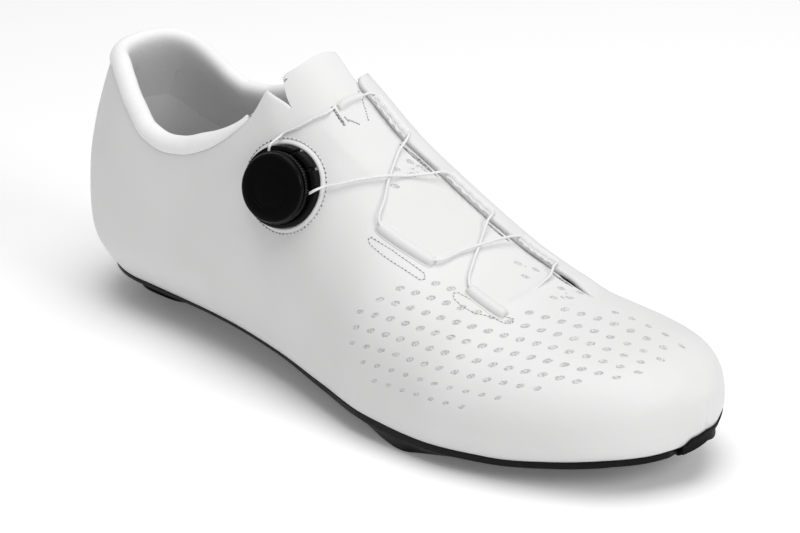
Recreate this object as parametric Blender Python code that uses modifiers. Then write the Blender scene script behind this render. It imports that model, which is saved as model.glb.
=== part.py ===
"""A road cycling shoe for the right foot, standing empty on its sole.

x runs from the heel to the toe, y to the medial side and z up, in metres. The shoe is first worked out with
the back of its heel at x = 0, and at the end it is moved so that the origin lies under the middle of its box.
"""
from math import cos, pi, radians, sin

import bmesh
import bpy
import numpy as np
from mathutils import Matrix, Vector
from mathutils.bvhtree import BVHTree

# Driving sizes of the shoe
LENGTH = 0.286
BALL_WIDTH = 0.096
HEEL_WIDTH = 0.071
INSTEP_HEIGHT = 0.095
COLLAR_HEIGHT = 0.105
SOLE_LIFT = 0.0145
TOE_SPRING = 0.008
HEEL_ROUND = 2.15
WALL = 0.0018
GAP = 0.0003

# Sole
PLATE_EDGE = 0.0024
PAD_LIP = 0.0012
PAD_PROUD = 0.0008
PAD_REACH = 0.0048
PAD_SWELL = 1.3
PAD_DROP = 0.0026
PAD_FOOT = 0.0014
PAD_THICKNESS = 0.0013
MIDDLE = (LENGTH + PAD_PROUD * PAD_SWELL) / 2
HEEL_PAD_LENGTH = 0.033
HEEL_PAD_WIDTH = 0.0260
HEEL_PAD_BACK = 0.0175
PAD_BEVEL = 0.0012
INSOLE_THICKNESS = 0.003
INSOLE_MARGIN = 0.0012
BOLT_DIAMETER = 0.005
BOLT_DEPTH = 0.0045
BOLT_SHIFT = 0.003

# Each bolt's place along the length and its share of the ball's width to the side
BOLTS = ((0.70, 0.0), (0.765, -0.15), (0.765, 0.15))

# Collar, dial and lace
ROLL_DIAMETER = 0.0062
ROLL_END_LATERAL = 0.350
ROLL_END_MEDIAL = 0.385
BASE_DIAMETER = 0.031
BASE_EDGE = 0.0012
BASE_BEVEL = 0.0006
KNOB_DIAMETER = 0.0275
KNOB_HEIGHT = 0.0058
KNOB_BEVEL = 0.0009
LACE_DIAMETER = 0.0012
GUIDE_HEIGHT = 0.0022
GUIDE_WIDTH = 0.0052
GUIDE_HEM = 0.0007
TUBE_WIDTH = 0.0034
TUBE_HEIGHT = 0.0022
TUBE_SHIFT = 0.035

# One row for each section of the last. The widths are shares of the heel's width behind and of the ball's
# width in front, and the heights are shares of the collar's height behind and of the instep's in front.
# The lift is a share of the sole's lift. Places are shares of the length.
SECTIONS = np.array([
    # place low_l   low_m   wide_l  wide_m  shift   z_l    z_m    crest  lift   spring round_l round_m
    [0.138, 0.387, 0.373, 0.528, 0.472, 0.021, 0.343, 0.362, 1.180, 1.000, 0.00, 2.10, 2.10],
    [0.227, 0.408, 0.366, 0.528, 0.465, 0.023, 0.362, 0.400, 1.250, 1.055, 0.00, 2.10, 2.10],
    [0.326, 0.425, 0.325, 0.505, 0.429, 0.035, 0.371, 0.425, 1.309, 1.100, 0.00, 2.00, 2.00],
    [0.426, 0.430, 0.274, 0.469, 0.382, 0.048, 0.363, 0.441, 1.219, 1.050, 0.00, 1.95, 2.00],
    [0.525, 0.454, 0.285, 0.467, 0.393, 0.066, 0.326, 0.400, 1.000, 0.900, 0.00, 2.00, 2.05],
    [0.613, 0.482, 0.365, 0.498, 0.451, 0.086, 0.274, 0.344, 0.798, 0.745, 0.00, 2.05, 2.10],
    [0.703, 0.472, 0.432, 0.503, 0.492, 0.100, 0.247, 0.281, 0.632, 0.641, 0.00, 2.10, 2.15],
    [0.793, 0.410, 0.458, 0.458, 0.504, 0.122, 0.232, 0.256, 0.546, 0.645, 0.06, 2.20, 2.30],
    [0.871, 0.312, 0.438, 0.369, 0.490, 0.143, 0.232, 0.253, 0.518, 0.648, 0.32, 2.30, 2.50],
    [0.931, 0.203, 0.375, 0.260, 0.443, 0.156, 0.237, 0.253, 0.495, 0.648, 0.61, 2.40, 2.60],
    [0.970, 0.094, 0.297, 0.135, 0.365, 0.158, 0.247, 0.253, 0.453, 0.648, 0.82, 2.40, 2.60],
    [0.990, -0.013, 0.219, 0.005, 0.281, 0.148, 0.253, 0.250, 0.396, 0.648, 1.00, 2.30, 2.40],
    [1.000, -0.128, 0.128, -0.128, 0.128, 0.128, 0.253, 0.253, 0.332, 0.648, 1.30, 2.00, 2.00],
])

# How far the heel's back stands behind the first section, as a share of that section's place, at heights
# that are shares of the collar's.
HEEL_CURVE = np.array([
    # height depth
    [0.14, 0.800],
    [0.20, 0.875],
    [0.30, 0.967],
    [0.42, 1.000],
    [0.55, 0.990],
    [0.70, 0.925],
    [0.85, 0.830],
    [1.00, 0.730],
    [1.20, 0.620],
])

# The collar's edge: its height on both sides as a share of the collar's height.
RIM = np.array([
    # place lateral medial
    [0.000, 0.950, 0.950],
    [0.045, 0.955, 0.955],
    [0.070, 0.957, 0.940],
    [0.096, 0.930, 0.885],
    [0.137, 0.845, 0.800],
    [0.170, 0.779, 0.770],
    [0.210, 0.757, 0.778],
    [0.245, 0.770, 0.808],
    [0.290, 0.820, 0.860],
    [0.330, 0.900, 0.912],
    [0.358, 0.991, 0.950],
    [0.368, 1.070, 0.964],
    [0.400, 1.200, 1.008],
    [0.415, 1.250, 1.026],
    [0.430, 1.300, 1.060],
    [0.444, 1.350, 1.100],
])

# The medial edge of the throat, as a place across the rib: 0 at the lateral lower edge, 1 at the widest
# lateral place, 2 at the crest, 3 at the widest medial place and 4 at the medial lower edge. Overlap is how
# far the lateral flap reaches beyond it.
THROAT = np.array([
    # place edge   overlap
    [0.380, 1.955, 0.085],
    [0.405, 1.956, 0.082],
    [0.442, 1.966, 0.024],
    [0.480, 1.986, 0.060],
    [0.520, 1.992, 0.100],
    [0.574, 2.050, 0.100],
    [0.639, 2.100, 0.100],
    [0.674, 2.140, 0.100],
    [0.715, 2.165, 0.100],
    [0.750, 2.163, -0.012],
    [0.790, 2.140, -0.012],
    [0.800, 2.133, 0.000],
    [1.000, 2.000, 0.000],
])

# The tab's upper edge: its place along the length for places across the rib.
TAB_TOP = np.array([
    # across place
    [1.69, 0.3770],
    [1.72, 0.3805],
    [1.80, 0.3895],
    [1.96, 0.3985],
    [2.05, 0.4035],
])

# The lace's open runs. Each row is a place, a place across the rib and a height over the form.
LACE_RUNS = {
    # from the dial to the slit guide
    "lace_1": [
        [(0.402, 1.495, 0.0018), (0.4235, 1.594, 0.0013), (0.436, 1.663, 0.0013), (0.449, 1.746, 0.0015)]],
    # from the first tube to guide A, across the run from the dial to the second tube
    "lace_2": [
        [(0.5235, 1.985, 0.0034), (0.528, 1.930, 0.0020), (0.534, 1.877, 0.0013), (0.541, 1.815, 0.0013),
         (0.547, 1.765, 0.0013), (0.556, 1.700, 0.0013), (0.563, 1.632, 0.0015)],
        [(0.483, 1.512, 0.0018), (0.498, 1.570, 0.0013), (0.520, 1.672, 0.0013), (0.541, 1.780, 0.0013),
         (0.556, 1.880, 0.0013), (0.565, 1.949, 0.0024), (0.571, 2.010, 0.0034)]],
    # from guide A to the third tube, across the run from the second tube to guide B
    "lace_3": [
        [(0.6475, 1.728, 0.0015), (0.654, 1.823, 0.0013), (0.661, 1.915, 0.0013), (0.666, 1.990, 0.0020),
         (0.671, 2.085, 0.0034)],
        [(0.6425, 2.040, 0.0034), (0.650, 1.990, 0.0022), (0.661, 1.925, 0.0013), (0.674, 1.835, 0.0013),
         (0.6865, 1.757, 0.0015)]],
    # from the third tube to the tunnel under the flap's toe end
    "lace_4": [
        [(0.7335, 2.128, 0.0032), (0.741, 2.060, 0.0016), (0.744, 1.990, 0.0011), (0.745, 1.950, 0.0012)]],
}

# The guides on the flap: place and place across of both ends, and shares of a guide's width and height.
GUIDES = (
    ("guide_a", ((0.566, 1.615), (0.644, 1.705)), 1.0, 1.0),
    ("guide_b", ((0.693, 1.738), (0.751, 1.738)), 1.0, 1.0),
    ("guide_slit", ((0.452, 1.775), (0.460, 1.900)), 0.9, 0.7),
)

# The textile tubes along the medial edge: the places of both ends.
TUBES = (("tube_1", 0.468, 0.520), ("tube_2", 0.574, 0.638), ("tube_3", 0.674, 0.728))

# The underside of the sole's plate, as a share of the sole's lift.
PLATE_BOTTOM = np.array([
    # place height
    [0.00, 0.900],
    [0.03, 0.680],
    [0.06, 0.470],
    [0.07, 0.440],
    [0.20, 0.440],
    [0.28, 0.640],
    [0.38, 0.760],
    [0.48, 0.690],
    [0.57, 0.380],
    [0.63, 0.060],
    [0.66, 0.000],
    [0.80, 0.000],
    [0.86, 0.100],
    [0.93, 0.420],
    [1.00, 0.900],
])

# How far the flat bottom of the plate is set in from its edges, as a share of the ball's width.
PLATE_INSET = np.array([
    # place inset
    [0.00, 0.150],
    [0.20, 0.150],
    [0.32, 0.125],
    [0.46, 0.120],
    [0.56, 0.100],
    [0.63, 0.047],
    [0.67, 0.031],
    [0.69, 0.060],
    [0.73, 0.110],
    [0.78, 0.135],
    [0.84, 0.172],
    [0.92, 0.172],
    [1.00, 0.060],
])

HEEL_X = SECTIONS[0, 0]
PEAK_PLACE = 0.368
NOTCH_PLACE = 0.406
CORNER_PLACE = 0.444
LIFTED_PLACE = 0.755
SLIT_END = 0.800
TOE_PAD_MEDIAL = 0.950
TOE_PAD_LATERAL = 0.989
TOE_PAD_START = 0.9905
BUMPER_RISE = 0.36
BUMPER_MEDIAL = 0.62
LAST_TURN = 0.985
PEAK_ACROSS = 1.608
FLAP_ACROSS = 1.63
TAB_ACROSS = 1.69
TAB_CURVE = 1.8
PEAK_FLARE = 0.0022

# The dial's place on the lateral side and the lean of its axis
DIAL_PLACE = 0.4274
DIAL_ACROSS = 1.387
DIAL_TOEWARD = radians(12)
DIAL_UPWARD = radians(17.5)

RUBBER = ("rubber", (0.012, 0.012, 0.013), 0.62, 0.0)
COMPOSITE = ("sole_composite", (0.010, 0.010, 0.011), 0.35, 0.0)
SYNTHETIC = ("upper_synthetic", (0.80, 0.80, 0.80), 0.48, 0.0)
LINING = ("lining_fabric", (0.74, 0.74, 0.74), 0.85, 0.0)
DIAL_PLASTIC = ("dial_plastic", (0.008, 0.008, 0.009), 0.38, 0.0)
LACE_CORD = ("lace_cord", (0.70, 0.70, 0.70), 0.55, 0.0)


def smooth_table(table, at):
    """A monotone cubic curve through a table's rows, whose first column is the place."""
    places, values = table[:, 0], table[:, 1:]
    steps = np.diff(places)[:, None]
    slopes = np.diff(values, axis=0) / steps
    before, after = slopes[:-1], slopes[1:]
    weight_before = steps[:-1] + 2 * steps[1:]
    weight_after = 2 * steps[:-1] + steps[1:]
    turning = before * after <= 0
    safe_before = np.where(turning, 1, before)
    safe_after = np.where(turning, 1, after)
    inner = (weight_before + weight_after) / (weight_before / safe_before + weight_after / safe_after)
    tangents = np.vstack([slopes[:1], np.where(turning, 0, inner), slopes[-1:]])
    at = np.clip(at, places[0], places[-1])
    cell = np.clip(np.searchsorted(places, at, side="right") - 1, 0, len(places) - 2)
    step = steps[cell]
    t = (at - places[cell])[:, None] / step
    start = (1 + 2 * t) * (1 - t) ** 2 * values[cell] + t * (1 - t) ** 2 * step * tangents[cell]
    end = t ** 2 * (3 - 2 * t) * values[cell + 1] + t ** 2 * (t - 1) * step * tangents[cell + 1]
    return start + end


def ease(value, low, high):
    """0 below low, 1 above high, and a smooth rise between."""
    t = np.clip((value - low) / (high - low), 0, 1)
    return t * t * (3 - 2 * t)


def to_turn(place):
    """A place along the length as a turn from 0 at the heel's section to 1 at the toe."""
    return np.arcsin(np.clip((np.asarray(place, float) - HEEL_X) / (1 - HEEL_X), 0, 1)) / (pi / 2)


def to_place(turn):
    """The place along the length of a turn."""
    return HEEL_X + (1 - HEEL_X) * np.sin(np.clip(turn, 0, 1) * pi / 2)


def section_values(place):
    """The table's columns at places along the length, in metres where they are lengths."""
    table = SECTIONS.copy()
    table[:, 0] = to_turn(SECTIONS[:, 0])
    values = smooth_table(table, to_turn(place))
    width = HEEL_WIDTH + (BALL_WIDTH - HEEL_WIDTH) * ease(place, 0.227, 0.613)
    height = COLLAR_HEIGHT + (INSTEP_HEIGHT - COLLAR_HEIGHT) * ease(place, 0.25, 0.50)
    values[:, 0:5] *= width[:, None]
    values[:, 5:8] *= height[:, None]
    values[:, 8] = values[:, 8] * SOLE_LIFT + values[:, 9] * TOE_SPRING
    return values


def side_values(values, side, back):
    """The columns of one side. Towards the back of the heel both sides come to the same values."""
    here, there = (0, 1) if side < 0 else (1, 0)
    low, wide = values[:, here], values[:, 2 + here]
    z_wide = values[:, 5 + here] * (1 - back / 2) + values[:, 5 + there] * back / 2
    rounding = values[:, 10 + here] * (1 - back / 2) + values[:, 10 + there] * back / 2
    return low, wide, z_wide, rounding


def last_points(along, across):
    """Points of the last's outer form. along runs from -1 at the back of the heel over 0 at the first section
    to 1 at the toe, and across runs as the throat's table says. Below its widest place a rib bulges out as
    a sine does, and above it is a quarter of a superellipse. The heel is half a superellipse in plan."""
    along, across = np.broadcast_arrays(np.asarray(along, float), np.asarray(across, float))
    shape = along.shape
    along, across = along.ravel(), across.ravel()
    place = to_place(along)
    turn = np.clip(-along, 0, 1)
    values = section_values(place)
    shift, crest, z_low = values[:, 4], values[:, 7], values[:, 8]
    halves = []
    for side, rise in ((-1, across), (1, 4 - across)):
        low, wide, z_wide, rounding = side_values(values, side, turn)
        below = np.clip(rise, 0, 1)
        above = np.clip(rise - 1, 0, 1) * pi / 2
        power = 2 / rounding
        y_below = side * (low + (wide - low) * np.sin(below * pi / 2))
        y_above = shift + (side * wide - shift) * np.abs(np.cos(above)) ** power
        y = np.where(rise < 1, y_below, y_above)
        z_below = z_low + (z_wide - z_low) * below
        z = np.where(rise < 1, z_below, z_wide + (crest - z_wide) * np.sin(above) ** power)
        halves.append((y, z))
    y = np.where(across <= 2, halves[0][0], halves[1][0])
    z = np.where(across <= 2, halves[0][1], halves[1][1])
    depth = smooth_table(HEEL_CURVE, z / COLLAR_HEIGHT)[:, 0] * HEEL_X * LENGTH
    power = 2 / HEEL_ROUND
    x = place * LENGTH - depth * np.sin(turn * pi / 2) ** power
    y = y * np.abs(np.cos(turn * pi / 2)) ** power
    return np.stack([x, y, z], -1).reshape(shape + (3,))


def last_normals(along, across):
    """Outward normals of the last's form, from the slopes of its two parameters."""
    step = 1e-3
    lengthwise = last_points(along + step, across) - last_points(along - step, across)
    crosswise = last_points(along, across + step) - last_points(along, across - step)
    normal = np.cross(lengthwise, crosswise)
    return normal / np.maximum(np.linalg.norm(normal, axis=-1, keepdims=True), 1e-12)


def across_at_height(along, height, side):
    """The place across a rib where it has a height, on one side, above its widest place."""
    turn = np.clip(-along, 0, 1)
    values = section_values(to_place(along))
    _, _, z_wide, rounding = side_values(values, side, turn)
    share = np.clip((height - z_wide) / (values[:, 7] - z_wide), 0, 1)
    rise = 1 + np.arcsin(share ** (rounding / 2)) / (pi / 2)
    return rise if side < 0 else 4 - rise


def station_x(along):
    """A station's place at the collar's height, as a share of the length."""
    depth = smooth_table(HEEL_CURVE, np.full(len(along), 0.9))[:, 0] * HEEL_X
    return to_place(along) - depth * np.sin(np.clip(-along, 0, 1) * pi / 2) ** (2 / HEEL_ROUND)


def throat_edge(along):
    """Where the medial throat edge lies across the ribs, and how far the flap reaches beyond it."""
    values = smooth_table(THROAT, to_place(along))
    return values[:, 0], values[:, 1]


def edge_lift(along, across):
    """How far the medial edge stands out over the flap that lies under it."""
    place = to_place(along)
    edge, _ = throat_edge(along.ravel())
    away = across - edge.reshape(along.shape)
    lengthwise = ease(place, 0.36, 0.42) * (1 - ease(place, LIFTED_PLACE, SLIT_END))
    return (WALL + 1.6 * GAP) * lengthwise * (1 - ease(away, 0.10, 0.36))


def peak_flare(along, across):
    """How far the lateral side's peak before the notch bends outwards."""
    place = to_place(along)
    lengthwise = ease(place, 0.335, PEAK_PLACE) * (1 - ease(place, PEAK_PLACE, NOTCH_PLACE))
    return PEAK_FLARE * lengthwise * ease(across, 1.47, PEAK_ACROSS + 0.03)


def stations():
    """The ribs' places, from the back of the heel to the toe, with one at each place where an edge turns."""
    heel = -np.cos(np.linspace(0, pi / 2, 9))[:-1]
    turning = [HEEL_X, 0.22, 0.30, 0.358, PEAK_PLACE, NOTCH_PLACE, CORNER_PLACE, 0.52, 0.715, LIFTED_PLACE,
               SLIT_END]
    counts = [3, 3, 3, 1, 3, 3, 4, 8, 2, 3]
    spans = zip(to_turn(turning[:-1]), to_turn(turning[1:]), counts)
    front = [np.linspace(first, last, count, endpoint=False) for first, last, count in spans]
    toe = to_turn(SLIT_END) + (LAST_TURN - to_turn(SLIT_END)) * np.linspace(0, 1, 13)
    return np.concatenate([heel, *front, toe])


def toe_stations():
    """The places of the ribs along the toe pad's medial half, which is the longer one."""
    start = to_turn(TOE_PAD_MEDIAL + 0.003)
    return start + (LAST_TURN - start) * np.linspace(0, 1, 8)


def upper_grids():
    """The outer surface of the upper as grids of points: the lateral side, the flap with its tab, and the
    medial side."""
    along = stations()
    place = station_x(along)
    rim = smooth_table(RIM, place) * COLLAR_HEIGHT
    lateral_rim = across_at_height(along, rim[:, 0], -1)
    medial_rim = across_at_height(along, rim[:, 1], 1)
    edge, overlap = throat_edge(along)
    notch_side = PEAK_ACROSS + (FLAP_ACROSS - PEAK_ACROSS) * ease(place, PEAK_PLACE, NOTCH_PLACE)
    lateral_top = np.where(place > PEAK_PLACE + 1e-6, notch_side, np.minimum(lateral_rim, PEAK_ACROSS))
    medial_top = np.where(place > CORNER_PLACE - 1e-6, edge, np.maximum(medial_rim, edge))

    low = np.linspace(0, 1, 3)
    high = np.linspace(0, 1, 9)[1:]
    lateral = np.concatenate([np.tile(low, (len(along), 1)), 1 + (lateral_top[:, None] - 1) * high], axis=1)
    medial = np.concatenate([medial_top[:, None] + (3 - medial_top[:, None]) * (1 - high[::-1]),
                             3 + np.tile(low, (len(along), 1))], axis=1)
    grid = np.repeat(along[:, None], lateral.shape[1], axis=1)
    flare = peak_flare(grid, lateral)[..., None]
    lift = edge_lift(grid, medial)[..., None]
    lateral_points = last_points(grid, lateral) + last_normals(grid, lateral) * flare
    medial_points = last_points(grid, medial) + last_normals(grid, medial) * lift

    first = int(np.argmin(np.abs(place - NOTCH_PLACE)))
    spread = np.linspace(0, 1, 7)
    flap_end = edge + overlap
    flap = FLAP_ACROSS + (flap_end[first:, None] - FLAP_ACROSS) * spread
    flap_grid = np.repeat(along[first:, None], len(spread), axis=1)
    steps = np.linspace(0, 1, 5)[:-1, None]
    tab_across = TAB_ACROSS + (flap[0] - TAB_ACROSS) * spread * 0.999
    tab = flap[0] + (tab_across - flap[0]) * (1 - steps) ** TAB_CURVE
    top = smooth_table(TAB_TOP, tab_across)[:, 0]
    tab_grid = to_turn(top + (NOTCH_PLACE - top) * steps)
    flap_points = last_points(np.concatenate([tab_grid, flap_grid]), np.concatenate([tab, flap]))
    return lateral_points, flap_points, medial_points


def link(part, collection, material):
    """Puts an object in the collection with its own material."""
    name, colour, roughness, metallic = material
    finish = bpy.data.materials.new(part.name + "_" + name)
    finish.use_nodes = True
    shader = finish.node_tree.nodes["Principled BSDF"]
    shader.inputs["Base Color"].default_value = (*colour, 1)
    shader.inputs["Roughness"].default_value = roughness
    shader.inputs["Metallic"].default_value = metallic
    part.data.materials.append(finish)
    collection.objects.link(part)
    return part


def keep_as_cutter(cutter, collection):
    """Keeps an object as a cutter or a joining piece, out of the shoe's own collection."""
    cutter.hide_render = True
    cutter.display_type = "WIRE"
    for holder in cutter.users_collection:
        holder.objects.unlink(cutter)
    collection.objects.link(cutter)


def mesh_part(name, points, faces, material, collection):
    """An object from points and faces, with equal points merged and its shading smooth up to a crease."""
    mesh = bpy.data.meshes.new(name)
    mesh.from_pydata([tuple(p) for p in points], [], [tuple(int(k) for k in f) for f in faces])
    shape = bmesh.new()
    shape.from_mesh(mesh)
    bmesh.ops.remove_doubles(shape, verts=shape.verts, dist=1e-6)
    bmesh.ops.dissolve_degenerate(shape, edges=shape.edges, dist=1e-7)
    shape.to_mesh(mesh)
    shape.free()
    mesh.shade_smooth()
    mesh.set_sharp_from_angle(angle=radians(40))
    return link(bpy.data.objects.new(name, mesh), collection, material)


def grid_faces(rows, columns, first=0):
    """The faces of a grid of points, which face the way of rows crossed with columns."""
    k = np.arange(rows * columns).reshape(rows, columns) + first
    return np.stack([k[:-1, :-1], k[1:, :-1], k[1:, 1:], k[:-1, 1:]], -1).reshape(-1, 4)


def ring_faces(count, size):
    """The faces between closed rings of points, and the two end faces."""
    k = np.arange(count * size).reshape(count, size)
    nxt = np.roll(k, -1, axis=1)
    walls = np.stack([k[:-1], k[1:], nxt[1:], nxt[:-1]], -1).reshape(-1, 4).tolist()
    return walls + [k[0].tolist(), k[-1, ::-1].tolist()]


def face_outwards(part):
    """Turns the faces of a closed solid outwards."""
    shape = bmesh.new()
    shape.from_mesh(part.data)
    bmesh.ops.recalc_face_normals(shape, faces=shape.faces)
    shape.to_mesh(part.data)
    shape.free()
    return part


def ring_part(name, rings, material, collection):
    """A closed solid through rings of points, with flat ends."""
    rings = np.asarray(rings)
    count, size = rings.shape[:2]
    return face_outwards(mesh_part(name, rings.reshape(-1, 3), ring_faces(count, size), material, collection))


def slab_part(name, top, bottom, material, collection):
    """A closed solid between two grids of points of the same size."""
    rows, columns = top.shape[:2]
    count = rows * columns
    around = np.concatenate([np.arange(columns), np.arange(2, rows) * columns - 1,
                             count - 1 - np.arange(columns), np.arange(rows - 2, 0, -1) * columns])
    faces = grid_faces(rows, columns).tolist() + grid_faces(rows, columns, count)[:, ::-1].tolist()
    nxt = np.roll(around, -1)
    faces += np.stack([around, nxt, nxt + count, around + count], -1).tolist()
    points = np.concatenate([top.reshape(-1, 3), bottom.reshape(-1, 3)])
    return face_outwards(mesh_part(name, points, faces, material, collection))


def surface_tree(*grids):
    """A search tree over grids of points."""
    points, faces = [], []
    for grid in grids:
        first = len(points)
        points += [Vector(p) for p in grid.reshape(-1, 3)]
        faces += grid_faces(grid.shape[0], grid.shape[1], first).tolist()
    return BVHTree.FromPolygons(points, faces)


def make_upper(collection):
    """The upper: one hollow solid with an even wall, open at the collar, along the throat and underneath."""
    lateral, flap, medial = upper_grids()
    points, faces = [], []
    for grid in (lateral, flap, medial):
        first = sum(len(p) for p in points)
        points.append(grid.reshape(-1, 3))
        faces += grid_faces(grid.shape[0], grid.shape[1], first).tolist()
    points = np.concatenate(points)
    chain, first = [], 0
    for grid in (lateral, flap, medial):
        columns = grid.shape[1]
        row = first + grid.shape[0] * columns - columns + np.arange(columns)
        chain += row.tolist() if not chain else row.tolist()[1:]
        first += grid.shape[0] * columns
    tip = (lateral[-1, 0] + medial[-1, -1]) / 2
    tip[0] = LENGTH
    faces += [[a, len(points), b] for a, b in zip(chain[:-1], chain[1:])]
    part = mesh_part("upper", np.vstack([points, tip]), faces, SYNTHETIC, collection)
    wall = part.modifiers.new("wall", "SOLIDIFY")
    wall.thickness = WALL
    wall.offset = -1
    wall.use_even_offset = True
    wall.use_quality_normals = True
    return part, surface_tree(lateral, flap), surface_tree(medial)


def sole_outline(along, inset):
    """The sole's lateral and medial edges at stations along it, set inwards squarely to the outline. Their
    height is that of the upper's lower edge."""
    edges = []
    for across, side in ((0.0, -1), (4.0, 1)):
        tangent = last_points(along + 1e-3, across) - last_points(along - 1e-3, across)
        inward = np.stack([side * tangent[:, 1], -side * tangent[:, 0], 0 * along], 1)
        inward /= np.linalg.norm(inward, axis=1)[:, None]
        edges.append(last_points(along, across) + inward * np.broadcast_to(inset, along.shape)[:, None])
    return edges


def plate_bottom(x):
    """The height of the plate's underside. Over the toe pad the plate is a thin slab."""
    place = x / LENGTH
    hull = smooth_table(PLATE_BOTTOM, place.ravel())[:, 0].reshape(place.shape) * SOLE_LIFT
    slab = edge_height(x) - GAP - PLATE_EDGE
    return hull + (np.maximum(slab, hull) - hull) * ease(place, TOE_PAD_MEDIAL - 0.028, TOE_PAD_MEDIAL - 0.004)


def edge_height(x):
    """The height of the upper's lower edge at an x."""
    along = np.concatenate([np.linspace(-1, 0, 12, endpoint=False), np.linspace(0, 1, 60)])
    edge = last_points(along, 0.0)
    return np.interp(x, edge[:, 0], edge[:, 2])


def make_outsole(collection, cutters):
    """The stiff plate: a level top under the upper, a thin upright edge and a hull that slopes in to a flat
    bottom. It has three blind holes for a cleat's bolts at the ball."""
    heel = -np.cos(np.linspace(0.12, pi / 2, 9))[:-1]
    middle = to_turn(np.append(np.linspace(HEEL_X, 0.90, 24), [0.922, 0.934, 0.944]))
    along = np.concatenate([heel, middle, toe_stations()])
    place = to_place(along)
    lateral, _ = sole_outline(along, (PAD_LIP + GAP) * ease(place, TOE_PAD_LATERAL - 0.006, TOE_PAD_LATERAL))
    _, medial = sole_outline(along, (PAD_LIP + GAP) * ease(place, TOE_PAD_MEDIAL - 0.006, TOE_PAD_MEDIAL))
    across = medial - lateral
    middle_place = (lateral + medial)[:, 0] / 2 / LENGTH
    inset = smooth_table(PLATE_INSET, middle_place)[:, 0] * BALL_WIDTH
    inward = np.minimum(inset / np.linalg.norm(across, axis=1), 0.42)
    shares = np.stack([0 * inward, 0 * inward, inward, 1 - inward, 1 + 0 * inward, 1 + 0 * inward], 1)
    drop = np.array([0, 0, 1, 1, 0, 0])
    rings = lateral[:, None] + across[:, None] * shares[..., None]
    top = edge_height(rings[..., 0]) - GAP
    side = top - PLATE_EDGE * (0.5 + 0.5 * ease(middle_place, 0.35, 0.62))[:, None]
    bottom = np.minimum(plate_bottom(rings[..., 0]), side)
    rings[..., 2] = side - (side - bottom) * drop
    rings[:, 0, 2] = top[:, 0]
    rings[:, -1, 2] = top[:, -1]
    plate = ring_part("outsole", rings, COMPOSITE, collection)

    for number, (bolt_place, bolt_side) in enumerate(BOLTS, 1):
        centre = (bolt_place * LENGTH, bolt_side * BALL_WIDTH + BOLT_SHIFT, 0)
        bpy.ops.mesh.primitive_cylinder_add(vertices=16, radius=BOLT_DIAMETER / 2, depth=2 * BOLT_DEPTH,
                                            location=centre)
        cutter = bpy.context.object
        cutter.name = f"bolt_hole_{number}"
        keep_as_cutter(cutter, cutters)
        cut = plate.modifiers.new(f"bolt_{number}", "BOOLEAN")
        cut.operation = "DIFFERENCE"
        cut.object = cutter
    return plate


def make_heel_pad(collection):
    """The rubber pad under the heel: a rounded outline, with its lower edge bevelled."""
    around = np.linspace(0, 2 * pi, 28, endpoint=False)
    seat = PLATE_BOTTOM[3, 1] * SOLE_LIFT - GAP
    rings = []
    for height, inset in ((seat, 0.0), (PAD_BEVEL, 0.0), (0.0, PAD_BEVEL)):
        power = 2 / 3.2
        x = np.sign(np.cos(around)) * np.abs(np.cos(around)) ** power * (HEEL_PAD_LENGTH / 2 - inset)
        y = np.sign(np.sin(around)) * np.abs(np.sin(around)) ** power * (HEEL_PAD_WIDTH / 2 - inset)
        x += HEEL_PAD_BACK + HEEL_PAD_LENGTH / 2
        rings.append(np.stack([x, y, np.full(len(x), height)], 1))
    return ring_part("heel_pad", rings, RUBBER, collection)


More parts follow.
